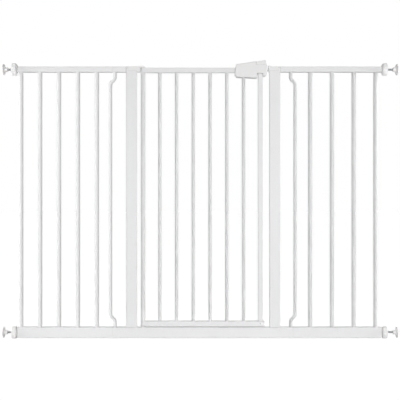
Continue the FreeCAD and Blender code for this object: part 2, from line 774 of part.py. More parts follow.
def door_end_cap():
    """Moulded cap in the open end of the door's bottom rail."""
    body = new_body("door_end_cap")
    along = Vector(1, 0, 0)
    head = pad(body, centred(body, "YZ_Plane", "door_tube", "door_tube"), "door_cap_reach")
    rounded = dress(body, head, "Fillet", edges_where(head, lambda edge: runs_along(edge, along)),
                    Radius="door_tube_corner")
    reach = value("door_cap_reach")
    rim = edges_where(rounded, lambda edge: edge.CenterOfMass.x > reach - 0.01)
    dress(body, rounded, "Chamfer", rim, Size="door_tube_corner / 2")
    inner = "door_tube - 2 * tube_wall - 2 * plug_gap"
    core = pad(body, centred(body, "YZ_Plane", inner, inner), "door_cap_plug", back=True)
    long_edges = edges_where(core, lambda edge: edge.CenterOfMass.x < 0
                             and runs_along(edge, along))
    dress(body, core, "Chamfer", long_edges, Size="door_tube_corner - tube_wall")
    hole = circles(body, "XZ_Plane", [("-door_tube / 2 - door_rail_overhang", "0")],
                   "cap_rivet_diameter / 2 + 2 * screw_gap")
    cut(body, hole, back=True)
    return place(body, x="latch_x + door_tube / 2 + door_rail_overhang", z="door_low_rail_z")


def door_cap_rivet():
    """Domed rivet through the bottom rail's front wall into the end cap."""
    body = new_body("door_cap_rivet")
    face = "door_tube / 2"
    head = circles(body, "XZ_Plane", [("0", "0")], "cap_rivet_diameter", lift=face)
    pad(body, head, "cap_rivet_head")
    shank = circles(body, "XZ_Plane", [("0", "0")], "cap_rivet_diameter / 2", lift=face)
    pad(body, shank, "door_tube / 2 - cap_rivet_diameter / 2", back=True)
    return place(body, x="latch_x", z="door_low_rail_z")


# ---- latch ----------------------------------------------------------------------------------

HOUSING = [
    ("-grip_top_reach", "grip_top"), ("-grip_reach", "-grip_back_drop"),
    ("-grip_bottom_reach", "-grip_bottom_drop"), ("-belly_reach", "-belly_drop"),
    ("nose_bottom_reach", "-nose_bottom_drop"), ("nose_reach", "nose_rise"),
    ("deck_reach", "deck_rise"), ("shoulder_reach", "shoulder_rise"),
    ("crown_reach", "crown_rise"),
]
# screws that hold the two shells together. The first also crosses the rail and stops the spring.
LATCH_SCREWS = [
    ("-spring_stop_reach", "0"),
    ("-grip_screw_reach", "door_tube / 2 + grip_screw_clear"),
    ("-belly_screw_reach", "-belly_screw_drop"),
    ("nose_screw_reach", "-nose_screw_drop"),
]


def housing_top(across):
    """Height of the housing's sloping top edge at a place along it."""
    slope = "(crown_rise - grip_top) / (crown_reach + grip_top_reach)"
    return f"crown_rise - {slope} * (crown_reach - ({across}))"


def housing_bottom(across):
    """Height of the housing's bottom edge at a place along its grip."""
    slope = "(belly_drop - grip_bottom_drop) / (grip_bottom_reach - belly_reach)"
    return f"-belly_drop - {slope} * ({across} + belly_reach)"


def latch_shell(label, rear):
    """Half of the latch housing, hollow and open at the middle plane. Two upright ribs stiffen
    it, and a walled notch in its lower edge shows the latch stile."""
    body = new_body(label)
    block = pad(body, outline(body, "XZ_Plane", HOUSING), "housing_depth / 2", back=rear)
    upright = edges_where(block, lambda edge: runs_along(edge, Vector(0, 1, 0))
                          and (edge.CenterOfMass.x < 0 or edge.CenterOfMass.z < 0))
    rounded = dress(body, block, "Fillet", upright, Radius="housing_corner")
    outside = named["housing_depth"] / 2
    rim = edges_where(rounded, lambda edge: abs(abs(edge.CenterOfMass.y) - outside) < 0.01)
    softened = dress(body, rounded, "Fillet", rim, Radius="housing_edge")
    hollow(body, softened, "housing_wall", lambda face: abs(face.CenterOfMass.y) < 0.01)
    inside = "housing_depth / 2 - housing_wall / 2"
    bosses = circles(body, "XZ_Plane", LATCH_SCREWS[1:], "boss_diameter")
    pad(body, bosses, inside, back=rear)
    front, back = ("0", inside) if rear else (f"-({inside})", "0")
    for reach in ("grip_rib_reach", "belly_rib_reach"):
        rib = rectangle(body, "YZ_Plane", front, back,
                        f"{housing_bottom('-' + reach)} + housing_wall / 2",
                        f"{housing_top('-' + reach)} - housing_wall / 2", f"-{reach}")
        pad(body, rib, "rib_thickness", both=True)
    notch_side = "door_tube / 2 + slot_gap"
    lintel = outline(body, "XZ_Plane", [
        ("-notch_reach - rib_thickness", "-belly_drop + housing_wall"),
        ("-notch_reach", "-belly_drop + housing_wall"), ("-notch_reach", "-notch_drop"),
        (notch_side, "-notch_drop"), (notch_side, "-nose_bottom_drop - housing_wall / 2"),
        (f"{notch_side} + rib_thickness", "-nose_bottom_drop - housing_wall / 2"),
        (f"{notch_side} + rib_thickness", "-notch_drop + rib_thickness"),
        ("-notch_reach - rib_thickness", "-notch_drop + rib_thickness"),
    ])
    pad(body, lintel, inside, back=rear)
    notch = rectangle(body, "XZ_Plane", "-notch_reach", notch_side,
                      "-belly_drop - cut_overrun", "-notch_drop")
    cut(body, notch, both=True)
    window = rectangle(body, "XZ_Plane", "-button_back", "nose_reach + cut_overrun",
                       "deck_rise", "crown_rise + cut_overrun")
    cut(body, window, both=True)
    half = "door_tube / 2 + slot_gap"
    cut(body, centred(body, "YZ_Plane", f"2 * ({half})", f"2 * ({half})"))
    cut(body, centred(body, "XY_Plane", f"2 * ({half})", f"2 * ({half})"))
    cut(body, circles(body, "XY_Plane", [("-door_bar_pitch", "0")],
                      "door_bar_diameter + 2 * slot_gap"))
    cut(body, circles(body, "YZ_Plane", [("0", "0")], "bolt_diameter + 2 * bolt_hole_gap"),
        back=True)
    seat = circles(body, "XZ_Plane", [("-pivot_back", "pivot_rise")],
                   "axle_diameter + 2 * screw_gap")
    cut(body, seat, "housing_depth / 2 - housing_wall + axle_seat + screw_gap", back=not rear)
    shank = circles(body, "XZ_Plane", LATCH_SCREWS, "latch_screw_diameter + 2 * screw_gap")
    if rear:
        cut(body, shank)
        sink = circles(body, "XZ_Plane", LATCH_SCREWS, "latch_screw_head + 2 * screw_gap",
                       lift="latch_screw_sink - housing_depth / 2")
        cut(body, sink)
    else:
        cut(body, shank, "housing_depth / 2 - housing_wall", back=True)
    return place(body, x="latch_x", z="bolt_z")


def latch_screws():
    """Screws that enter from the back and hold the two shells together."""
    body = new_body("latch_screws")
    face = "housing_depth / 2 - latch_screw_sink"
    for where in LATCH_SCREWS:
        screw(body, where, face, "latch_screw_head", "latch_screw_diameter",
              "housing_depth - latch_screw_sink - housing_wall - latch_screw_tip_gap",
              "latch_screw_sink - latch_screw_recess")
    return place(body, x="latch_x", z="bolt_z")


def latch_button():
    """Wedge-shaped thumb button on a moulded axle, open below. Two cam plates stand down from
    its roof, one on each side of the rail."""
    body = new_body("latch_button")
    left = "-button_back + button_gap"
    right = "deck_reach - housing_wall - 2 * button_gap"
    wedge = outline(body, "XZ_Plane", [
        (left, "button_under"), (left, housing_top(left)), ("crown_reach", "crown_rise"),
        ("shoulder_reach - button_gap", "shoulder_rise"), (right, "deck_rise"),
        (right, "button_under"),
    ])
    block = pad(body, wedge, "button_width", both=True)
    shell = hollow(body, block, "button_wall", lambda face: face.normalAt(0, 0).z < -0.999)
    deck, side = value("deck_rise"), value("button_width / 2")
    rim = edges_where(shell, lambda edge: edge.BoundBox.ZMax > deck + named["button_edge"]
                      and (abs(abs(edge.CenterOfMass.y) - side) < 0.01
                           or edge.BoundBox.YLength > 2 * side - 0.01))
    dress(body, shell, "Fillet", rim, Radius="button_edge")
    hub = circles(body, "XZ_Plane", [("-pivot_back", "pivot_rise")], "2 * pivot_hub")
    pad(body, hub, "button_width", both=True)
    axle = circles(body, "XZ_Plane", [("-pivot_back", "pivot_rise")], "axle_diameter")
    pad(body, axle, "housing_depth - 2 * housing_wall + 2 * axle_seat", both=True)
    margin = "cross_pin_diameter / 2 + cam_gap + cam_plate_margin"
    near, far = f"cam_end_x - ({margin})", f"cross_pin_reach + {margin}"
    for lift, back in (("cam_plate_inner", False), ("-cam_plate_inner", True)):
        plate = outline(body, "XZ_Plane", [
            (near, f"-({margin})"), (near, f"{housing_top(near)} - button_wall / 2"),
            (far, f"{housing_top(far)} - button_wall / 2"), (far, f"-({margin})"),
        ], lift)
        pad(body, plate, "cam_plate", back=back)
    slot = new_sketch(body, "XZ_Plane")
    cam_slot(slot)
    cut(body, slot, "button_width", both=True)
    return place(body, x="latch_x", z="bolt_z")


def cam_slot(sketch):
    """Round-ended slot between the cross pin's two places, as seen from the button."""
    start = Vector(named["cross_pin_reach"], 0, 0)
    end = Vector(named["cam_end_x"], named["cam_end_z"], 0)
    radius = named["cross_pin_diameter"] / 2 + named["cam_gap"]
    along = (end - start).normalize()
    side = Vector(-along.y, along.x, 0) * radius
    angle = math.atan2(along.y, along.x)
    half = math.pi / 2
    up = Vector(0, 0, 1)
    sketch.addGeometry(Part.LineSegment(start + side, end + side), False)
    sketch.addGeometry(Part.ArcOfCircle(Part.Circle(end, up, radius), angle - half, angle + half),
                       False)
    sketch.addGeometry(Part.LineSegment(end - side, start - side), False)
    sketch.addGeometry(Part.ArcOfCircle(Part.Circle(start, up, radius), angle + half,
                                        angle + 3 * half), False)
    for joint in ((0, 2, 1, 2), (1, 1, 2, 1), (2, 2, 3, 2), (3, 1, 0, 1)):
        constrain(sketch, "Tangent", *joint)
    constrain(sketch, "Equal", 1, 3)
    constrain(sketch, "Radius", 1, radius, formula="cross_pin_diameter / 2 + cam_gap")
    fix_point(sketch, 3, 3, "cross_pin_reach", "0")
    fix_point(sketch, 1, 3, "cam_end_x", "cam_end_z")


def latch_bolt():
    """Round bolt with a bevelled nose and a collar that the spring pushes on."""
    body = new_body("latch_bolt")
    nose = "latch_offset + bolt_engagement"
    rod = circles(body, "YZ_Plane", [("0", "0")], "bolt_diameter", lift="-bolt_tail")
    solid = pad(body, rod, f"bolt_tail + {nose}")
    ends = edges_where(solid, lambda edge: not isinstance(edge.Curve, Part.Line))
    dress(body, solid, "Chamfer", ends, Size="bolt_diameter / 4")
    collar = circles(body, "YZ_Plane", [("0", "0")], "collar_diameter",
                     lift="-guide_back - collar_gap - collar_length")
    pad(body, collar, "collar_length")
    hole = circles(body, "XZ_Plane", [("cross_pin_reach", "0")],
                   "cross_pin_diameter + 2 * screw_gap")
    cut(body, hole, both=True)
    return place(body, x="latch_x", z="bolt_z")


def latch_cross_pin():
    """Pin through the bolt, whose ends ride in the button's two cam slots."""
    body = new_body("latch_cross_pin")
    pin = circles(body, "XZ_Plane", [("cross_pin_reach", "0")], "cross_pin_diameter")
    pad(body, pin, "cross_pin_length", both=True)
    return place(body, x="latch_x", z="bolt_z")


def latch_bolt_guide():
    """Moulded guide pressed into the rail's end, with the bolt's bore."""
    body = new_body("latch_bolt_guide")
    inner = "door_tube - 2 * tube_wall - 2 * plug_gap"
    solid = pad(body, centred(body, "YZ_Plane", inner, inner, lift="-guide_back"), "guide_length")
    long_edges = edges_where(solid, lambda edge: runs_along(edge, Vector(1, 0, 0)))
    dress(body, solid, "Chamfer", long_edges, Size="door_tube_corner - tube_wall")
    cut(body, circles(body, "YZ_Plane", [("0", "0")], "bolt_diameter + 2 * pin_running_gap"),
        both=True)
    return place(body, x="latch_x", z="bolt_z")


def latch_spring():
    """Compression spring between the bolt's collar and the screw that crosses the rail."""
    body = new_body("latch_spring")
    middle = "(spring_diameter - spring_wire) / 2"
    wire = rectangle(body, "XZ_Plane", "0", "spring_wire", f"{middle} - spring_wire / 2",
                     f"{middle} + spring_wire / 2")
    coil = body.newObject("PartDesign::AdditiveHelix", "Coil")
    coil.Profile = wire
    coil.ReferenceAxis = (wire, ["H_Axis"])
    coil.Mode = "height-turns-angle"
    coil.Angle = 0
    start = "spring_stop_reach - latch_screw_diameter / 2 - collar_gap"
    end = "guide_back + 2 * collar_gap + collar_length"
    bind(coil, Height=f"{start} - ({end}) - spring_wire", Turns="spring_turns")
    doc.recompute()
    return place(body, x=f"latch_x - ({start})", z="bolt_z")


# ---- spindles -------------------------------------------------------------------------------

def handwheel(label, x, z, flip):
    """Lobed handwheel, the nut of the spindle. It bears on the end plug and is dished outside."""
    body = new_body(label)
    bore = "rod_diameter / 2 + rod_gap"
    rim = "wheel_diameter / 2"
    floor = "wheel_length - wheel_dish"
    lip = f"{rim} - wheel_lip"
    hub = "wheel_hub_diameter / 2"
    end = "wheel_length - wheel_hub_drop"
    dome = bowed(("0", "wheel_seat_diameter / 2"), ("wheel_length - wheel_rim", rim), True)
    profile = outline(body, "XZ_Plane", [
        ("0", bore), *dome, ("wheel_length - wheel_edge", rim),
        ("wheel_length", f"{rim} - wheel_edge"), ("wheel_length", lip), (floor, lip),
        (floor, hub), (end, hub), (end, bore),
    ])
    revolve(body, profile)
    across = f"{rim} + lobe_cutter_diameter / 2 - lobe_depth"
    scallop = circles(body, "YZ_Plane", [(f"({across}) * sin(180 / wheel_lobes)",
                                          f"({across}) * cos(180 / wheel_lobes)")],
                      "lobe_cutter_diameter")
    first = cut(body, scallop, back=True)
    ring = body.newObject("PartDesign::PolarPattern", "Lobes")
    ring.Originals = [first]
    ring.Axis = (scallop, ["N_Axis"])
    ring.Angle = 360
    bind(ring, Occurrences="wheel_lobes")
    body.Tip = ring
    doc.recompute()
    return place(body, x=x, z=z, flip=flip)


def threaded_rod(label, x, z, flip):
    """Threaded rod of a spindle, from inside its foot to inside the rail."""
    body = new_body(label)
    section = circles(body, "YZ_Plane", [("0", "0")], "rod_diameter",
                      lift="-foot_length + rod_seat")
    solid = pad(body, section, "rod_length", back=True)
    rims = edges_where(solid, lambda edge: not isinstance(edge.Curve, Part.Line))
    dress(body, solid, "Chamfer", rims, Size="rod_diameter / 8")
    return place(body, x=x, z=z, flip=flip)


def foot(label, x, z, flip):
    """Flared foot that presses on the wall."""
    body = new_body(label)
    bore = "rod_diameter / 2 + screw_gap"
    back = "-foot_length"
    neck = "foot_neck_diameter / 2"
    rim = "foot_diameter / 2"
    flare = bowed((f"{back} + foot_neck_length", neck), ("-foot_rim", rim), False)
    profile = outline(body, "XZ_Plane", [
        (back, bore), (back, neck), *flare, ("0", rim), ("0", "0"),
        (f"{back} + rod_seat", "0"), (f"{back} + rod_seat", bore),
    ])
    revolve(body, profile)
    return place(body, x=x, z=z, flip=flip)


# ---- the gate -------------------------------------------------------------------------------

def build_frame():
    top, low = "top_rail_height", "bottom_rail_height"
    bent_end = "bent_bar_diameter / 2 + bent_bar_inset"
    return [
        frame_bottom_rail(),
        post("frame_post_left", "left_post_x"),
        latch_post(),
        rail("frame_stub_left", top, "left_stub_end", "left_post_x - post_width / 2",
             "top_rail_z"),
        rail("frame_stub_right", top, "right_stub_start", "right_stub_end", "top_rail_z"),
        bent_bar("bent_bar_left", f"left_stub_end + {bent_end}", flip=True),
        bent_bar("bent_bar_right", f"right_stub_end - ({bent_end})", flip=False),
        hinge_bracket(),
        hinge_pin("hinge_pin_top", "hinge_pin_seat + hinge_pin_engagement + bush_flange",
                  "door_top + hinge_end_gap - hinge_pin_engagement - bush_flange - screw_gap"),
        hinge_pin("hinge_pin_bottom",
                  "bottom_rail_height - tube_wall + door_floor_gap + hinge_pin_engagement",
                  "bottom_rail_z - bottom_rail_height / 2 + tube_wall"),
        hinge_washer(),
        strike_cap(),
        saddle_screws(),
    ]


def build_panels():
    """Left panel of one piece, and two right panels that plug into each other."""
    pieces = []
    levels = [("top", "top_rail_height", "top_rail_z"),
              ("bottom", "bottom_rail_height", "bottom_rail_z")]
    panels = [("left", "left_rail_end", "left_seam"),
              ("inner", "right_seam", "outer_seam"),
              ("outer", "outer_panel_start", "right_rail_end")]
    for level, height, z in levels:
        for name, start, end in panels:
            pieces.append(rail(f"panel_{name}_{level}_rail", height, start, end, z))
        pieces += [
            coupler(f"coupler_left_{level}", height, "left_seam", "coupler_collar",
                    "coupler_proud", z),
            coupler(f"coupler_right_{level}", height, "right_stub_end", "coupler_collar",
                    "coupler_proud", z),
            coupler(f"joiner_{level}", height, "outer_seam", "joiner_rib", "screw_gap", z),
            end_plug(f"end_plug_left_{level}", height, "left_rail_end", z, flip=True),
            end_plug(f"end_plug_right_{level}", height, "right_rail_end", z, flip=False),
        ]
    for name, start, _ in panels:
        side = "left" if name == "left" else "right"
        pieces.append(bars(f"panel_{name}_bars", "panel_bar_diameter", "bottom_rail_top",
                           "top_rail_under", f"{start} + {side}_bar_first",
                           f"{side}_bar_pitch", f"{side}_bar_count"))
    return pieces


def build_door():
    return [
        door_hinge_stile(),
        stile_bushes(),
        door_latch_stile(),
        door_top_rail(),
        door_bottom_rail(),
        bars("door_bars", "door_bar_diameter", "door_low_rail_top", "door_top_under",
             "hinge_x + door_bar_pitch", "door_bar_pitch", "door_bar_count"),
        door_end_cap(),
        door_cap_rivet(),
        latch_shell("latch_front_shell", rear=False),
        latch_shell("latch_rear_shell", rear=True),
        latch_screws(),
        latch_bolt_guide(),
        latch_spring(),
        latch_button(),
        latch_bolt(),
        latch_cross_pin(),
    ]


def build_spindles():
    pieces = []
    for side, flip in (("left", True), ("right", False)):
        bearing = "-end_flange - wheel_gap" if flip else "+ end_flange + wheel_gap"
        for level in ("top", "bottom"):
            z = f"{level}_rail_z"
            name = f"{side}_{level}"
            pieces += [
                handwheel(f"handwheel_{name}", f"{side}_rail_end {bearing}", z, flip),
                threaded_rod(f"threaded_rod_{name}", f"{side}_wall", z, flip),
                foot(f"foot_{name}", f"{side}_wall", z, flip),
            ]
    return pieces


def check(document, pieces):
    """Stop before anything is written if an object failed or a piece isn't sound."""
    for thing in document.Objects:
        if {"Invalid", "Error"} & set(thing.State):
            raise RuntimeError(f"{thing.Name} of {thing.Label}: {thing.State}")
    for piece in pieces:
        shape = piece.Shape
        if shape.isNull() or not shape.isValid() or not shape.Solids:
            raise RuntimeError(f"{piece.Label} isn't a sound solid")


named = {**SIZES, **derived(SIZES)}
doc = FreeCAD.newDocument("SafetyGate")
sheet = make_sheet(doc, named)
subparts = build_frame() + build_panels() + build_door() + build_spindles()
doc.recompute()
check(doc, subparts)
os.makedirs("parts", exist_ok=True)
for subpart in subparts:
    subpart.Shape.exportStep(f"parts/{subpart.Label}.step")
print(f"{len(subparts)} sub-parts written")
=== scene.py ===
# %% [markdown]
# # A pressure-fit safety gate
# The gate is a welded steel frame with a swinging door, extension panels on both sides, and four
# screw spindles that press it between two walls. Its solids come packed from CAD, so this lesson
# doesn't draw tubes again. It gives every surface its finish, models what is too fine for CAD,
# such as threads, weld beads and the crosses in screw heads, and sets up a small studio.

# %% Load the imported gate
import json
import math

import bmesh
import bpy
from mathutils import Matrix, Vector


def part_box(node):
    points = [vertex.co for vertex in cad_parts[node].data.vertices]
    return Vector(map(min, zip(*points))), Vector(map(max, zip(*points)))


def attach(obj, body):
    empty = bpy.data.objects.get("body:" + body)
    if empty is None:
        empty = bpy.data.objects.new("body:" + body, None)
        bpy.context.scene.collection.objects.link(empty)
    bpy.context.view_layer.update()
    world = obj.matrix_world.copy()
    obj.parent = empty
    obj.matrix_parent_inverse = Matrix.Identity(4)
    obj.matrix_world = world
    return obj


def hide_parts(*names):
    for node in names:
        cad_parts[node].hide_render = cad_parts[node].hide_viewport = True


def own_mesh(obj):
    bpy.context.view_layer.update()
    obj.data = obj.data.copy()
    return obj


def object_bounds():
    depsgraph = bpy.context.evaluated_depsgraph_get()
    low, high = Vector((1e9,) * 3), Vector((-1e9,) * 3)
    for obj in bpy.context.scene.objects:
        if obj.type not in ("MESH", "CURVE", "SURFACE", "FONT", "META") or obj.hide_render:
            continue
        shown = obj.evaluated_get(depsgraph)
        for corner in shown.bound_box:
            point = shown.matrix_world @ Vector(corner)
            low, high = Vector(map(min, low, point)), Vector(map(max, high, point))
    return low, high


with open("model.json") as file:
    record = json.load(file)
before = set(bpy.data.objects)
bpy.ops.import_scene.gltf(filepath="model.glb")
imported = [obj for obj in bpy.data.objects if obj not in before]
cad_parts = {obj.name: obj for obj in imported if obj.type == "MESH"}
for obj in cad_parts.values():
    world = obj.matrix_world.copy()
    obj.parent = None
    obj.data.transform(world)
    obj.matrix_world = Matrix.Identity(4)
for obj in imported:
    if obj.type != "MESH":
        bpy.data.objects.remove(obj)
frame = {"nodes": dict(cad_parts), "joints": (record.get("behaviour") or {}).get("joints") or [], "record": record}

cad_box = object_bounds()
print("CAD box, metres:", [[round(value, 4) for value in corner] for corner in cad_box])

# %% [markdown]
# ## Names for lengths
# Blender works in metres, and the small parts here are millimetres across. One named factor
# keeps the numbers below in millimetres, where a maker would think of them.

# %% A millimetre
MM = 0.001
print("one millimetre is", MM, "of a Blender unit")

# %% [markdown]
# ## Camera
# The gate is seen square on, from the height of its middle. A long lens from almost three metres
# keeps the bars parallel. The field of view follows from the width that the picture should show
# at the gate's middle plane, so the lens is worked out and not guessed. A camera looks down when
# it isn't turned, and a quarter turn about X levels it.

# %% Place the camera
CAMERA_DISTANCE = 2.78
CAMERA_HEIGHT = 0.509
CAMERA_SIDE = -1.1 * MM
PICTURE_WIDTH = 1.4704
SENSOR_WIDTH = 36.0

camera_data = bpy.data.cameras.new("studio_camera")
camera_data.sensor_width = SENSOR_WIDTH
camera_data.lens = SENSOR_WIDTH * CAMERA_DISTANCE / PICTURE_WIDTH
camera = bpy.data.objects.new("studio_camera", camera_data)
camera.location = (CAMERA_SIDE, -CAMERA_DISTANCE, CAMERA_HEIGHT)
camera.rotation_euler = (math.radians(90), 0, 0)
scene = bpy.context.scene
scene.collection.objects.link(camera)
scene.camera = camera
print("lens, mm:", round(camera_data.lens, 2))

# %% [markdown]
# ## Shader maths as Python
# A material is a graph of nodes, and drawing one in code gets long. This small class wraps one
# socket, so that an expression such as 0.3 + 0.1 * noise adds the Math nodes by itself. The
# reflected forms are there so that a plain number may come first.

# %% One class for a socket
class Value:
    """The output of a node, with arithmetic."""

    def __init__(self, graph, socket):
        self.graph = graph
        self.socket = socket

    def maths(self, operation, first, second):
        return self.graph.node("ShaderNodeMath", {"operation": operation}, {0: first, 1: second})

    def __add__(self, other):
        return self.maths("ADD", self, other)

    def __radd__(self, other):
        return self.maths("ADD", other, self)

    def __sub__(self, other):
        return self.maths("SUBTRACT", self, other)

    def __rsub__(self, other):
        return self.maths("SUBTRACT", other, self)

    def __mul__(self, other):
        return self.maths("MULTIPLY", self, other)

    def __rmul__(self, other):
        return self.maths("MULTIPLY", other, self)

    def __truediv__(self, other):
        return self.maths("DIVIDE", self, other)

    def __rtruediv__(self, other):
        return self.maths("DIVIDE", other, self)


print("a socket can now be added to, multiplied and divided")

# %% [markdown]
# ## Every other node
# A material and a world both hold a node tree, so one class serves both. Its node method adds any
# node. The settings come first, because a setting such as a Mix node's data type decides which
# sockets the node has. The method named shown tells the rays that end in the picture from those
# that only carry light, so that a floor or a sky can look brighter than it shines.

# %% One class for a node tree
class Graph:
    """The node tree of a material or a world, built one node at a time."""

    def __init__(self, owner, output):
        owner.use_nodes = True
        self.owner = owner
        self.tree = owner.node_tree
        self.tree.nodes.clear()
        self.output = self.tree.nodes.new(output)

    def node(self, kind, settings=None, values=None, out=0):
        """Add a node: its settings first, then the values or links of its sockets."""
        added = self.tree.nodes.new(kind)
        for name, setting in (settings or {}).items():
            setattr(added, name, setting)
        for name, value in (values or {}).items():
            if isinstance(value, Value):
                self.tree.links.new(value.socket, added.inputs[name])
            else:
                added.inputs[name].default_value = value
        return Value(self, added.outputs[out])

    def shown(self):
        """1 for a ray from the camera, also by way of gloss or glass, and 0 for the others."""
        either = self.node("ShaderNodeLightPath", out="Is Camera Ray")
        for kind in ("Is Glossy Ray", "Is Transmission Ray"):
            ray = self.node("ShaderNodeLightPath", out=kind)
            either = self.node("ShaderNodeMath", {"operation": "MAXIMUM"}, {0: either, 1: ray})
        return either

    def close(self, shader):
        """Link the last shader to the output, and give back the material or world."""
        self.tree.links.new(shader.socket, self.output.inputs["Surface"])
        return self.owner


print("node trees ready")

# %% [markdown]
# ## What the finishes share
# Every finish here is a colour, some masks that tint it, a bump and one Principled shader. Noise
# takes a grain in metres and turns it into the node's Scale, which counts features per metre.
# Corners and seams get painted shade with some dust in it, and an Ambient Occlusion node finds
# those places: it looks round from each point and measures how much of the view is open. A bump
# leaves the mesh as it is and only tilts the normal, which is enough for anything finer than the
# outline shows.

# %% The parts of a finish
CORNER_SAMPLES = 6
DEEP_CORNER = 0.35
OPEN_AIR = 0.80


class Finish(Graph):
    """A material for one kind of surface."""

    def __init__(self, name):
        super().__init__(bpy.data.materials.new(name), "ShaderNodeOutputMaterial")

    def place(self):
        """Where a point is on the object, in metres."""
        return self.node("ShaderNodeTexCoord", out="Object")

    def noise(self, where, grain, detail, roughness=0.5):
        """Soft noise from 0 to 1, whose features are about grain metres across."""
        return self.node("ShaderNodeTexNoise", values={
            "Vector": where, "Scale": 1 / grain, "Detail": detail, "Roughness": roughness,
        })

    def remap(self, value, low, high, to_low=0.0, to_high=1.0):
        """Stretch the part of a value between low and high, and hold it outside."""
        return self.node("ShaderNodeMapRange", {"clamp": True}, {
            "Value": value, "From Min": low, "From Max": high, "To Min": to_low, "To Max": to_high,
        })

    def blend(self, mask, first, second):
        """A colour between two others."""
        return self.node("ShaderNodeMix", {"data_type": "RGBA"},
                         {0: mask, 6: first, 7: second}, out=2)

    def crevice(self, reach):
        """1 deep in a corner or a seam, 0 in the open. Reach is how far the corner is felt."""
        open_share = self.node("ShaderNodeAmbientOcclusion", {"samples": CORNER_SAMPLES},
                               {"Distance": reach}, out="AO")
        return self.remap(open_share, DEEP_CORNER, OPEN_AIR, 1.0, 0.0)

    def bump(self, height, distance, strength, below=None):
        """Tilt the normal as if the surface rose by height times distance."""
        values = {"Height": height, "Distance": distance, "Strength": strength}
        if below is not None:
            values["Normal"] = below
        return self.node("ShaderNodeBump", values=values)

    def shade(self, **inputs):
        """Close the material with a Principled shader. Socket names use _ for a space."""
        return self.close(self.node("ShaderNodeBsdfPrincipled", values={
            name.replace("_", " "): value for name, value in inputs.items()}))


def grey(level, warmth=0.0):
    """A nearly neutral colour, a little warmer or cooler."""
    return (level + warmth, level, level - warmth, 1.0)


print("finish helpers ready")

# %% [markdown]
# ## Powder coat
# The steel is sprayed with polyester powder that melts into a hard white skin. Close to, the skin
# isn't flat: it has a very fine waviness called orange peel, a millimetre or two from crest to
# crest, on a broader ripple. Two bumps do that, one on the other, and the hollows of the peel get
# a painted shade, a little greyer, so the waviness still shows in flat light. The coat is thicker
# in some places than in others, so its white and its gloss drift slowly. Hands leave dull patches,
# and dust lies in specks on the open tube. Each corner gets a soft dark line of painted shade with
# some dust in it. A displaced mesh could carry the peel, but it would need millions of faces for
# what only the gloss gives away.

# %% The white powder coat
THIN_COAT = (0.808, 0.807, 0.815, 1.0)
THICK_COAT = (0.834, 0.833, 0.840, 1.0)
# A grey for the painted shade in the hollows of the peel.
PAINTED_DIMPLE_SHADE = grey(0.765)
HANDLED_COAT = grey(0.765, 0.002)
DUST_SPECK = grey(0.60, 0.01)
# A dark grey for the painted shade, with some dust in it, in corners and seams.
CORNER_SHADE_AND_DUST = grey(0.34, 0.008)
PEEL_SIZE = 1.5 * MM
RIPPLE_SIZE = 5.0 * MM
SPECK_SIZE = 1.6 * MM
HAND_SIZE = 35 * MM
DRIFT_SIZE = 180 * MM
COAT_CORNER = 6.0 * MM
DIMPLE_SHADE_RANGE = (0.62, 0.38)
HAND_PATCHES = (0.56, 0.74)
SPECKS = (0.74, 0.80)
DIMPLE_SHADE_SHARE = 0.45
HAND_TINT = 0.35
SPECK_TINT = 0.25
CORNER_SHADE_AND_DUST_SHARE = 0.40
CORNER_SHADE_AND_DUST_DRIFT = 0.35
RIPPLE_DEPTH = 0.10 * MM
PEEL_DEPTH = 0.05 * MM


def powder_coat():
    coat = Finish("powder_coat")
    where = coat.place()
    drift = coat.noise(where, DRIFT_SIZE, detail=3.0)
    peel = coat.noise(where, PEEL_SIZE, detail=1.5)
    ripple = coat.noise(where, RIPPLE_SIZE, detail=1.0)
    smudges = coat.noise(where, HAND_SIZE, detail=5.0, roughness=0.62)
    handling = coat.remap(smudges, *HAND_PATCHES)
    # The hollows of the peel are greyed: painted shade of the waviness.
    dimple_shade_mask = coat.remap(peel, *DIMPLE_SHADE_RANGE)
    specks = coat.remap(coat.noise(where, SPECK_SIZE, detail=1.0), *SPECKS)
    # Corners are darkened by an Ambient Occlusion mask: painted shade, with some dust in it.
    shade_and_dust_in_corners = coat.crevice(COAT_CORNER) * (CORNER_SHADE_AND_DUST_SHARE + CORNER_SHADE_AND_DUST_DRIFT * drift)
    tone = coat.blend(drift, THIN_COAT, THICK_COAT)
    tone = coat.blend(DIMPLE_SHADE_SHARE * dimple_shade_mask, tone, PAINTED_DIMPLE_SHADE)
    tone = coat.blend(HAND_TINT * handling, tone, HANDLED_COAT)
    tone = coat.blend(SPECK_TINT * specks, tone, DUST_SPECK)
    tone = coat.blend(shade_and_dust_in_corners, tone, CORNER_SHADE_AND_DUST)
    skin = coat.bump(ripple, RIPPLE_DEPTH, strength=0.45)
    skin = coat.bump(peel, PEEL_DEPTH, strength=0.55, below=skin)
    gloss = 0.38 + 0.07 * drift + 0.10 * handling + 0.08 * peel
    return coat.shade(Base_Color=tone, Roughness=gloss, Normal=skin,
                      IOR=1.45, Specular_IOR_Level=0.20)


print("powder coat ready")

# %% [markdown]
# ## Moulded plastic
# The latch housing, the thumb button, the saddles and the plugs are injection moulded. The mould
# is spark-eroded, which leaves a fine even grain that kills the shine, and the flow of the melt
# leaves faint cloudy tones. The pits of the grain are painted a little darker, a painted shade of
# its relief. Scuffs dull it in patches, and its seams get painted shade with some dust in it, as
# the coat's corners do. The plastic lets a little light in, so the shader has some subsurface.
# The feet and the nylon bushes differ only in numbers, so one function makes all three.

# %% Three kinds of plastic
FLOW_SIZE = 50 * MM
SCUFF_SIZE = 9.0 * MM
PLASTIC_CORNER = 5.0 * MM
SCUFFED_PLASTIC = grey(0.70, 0.004)
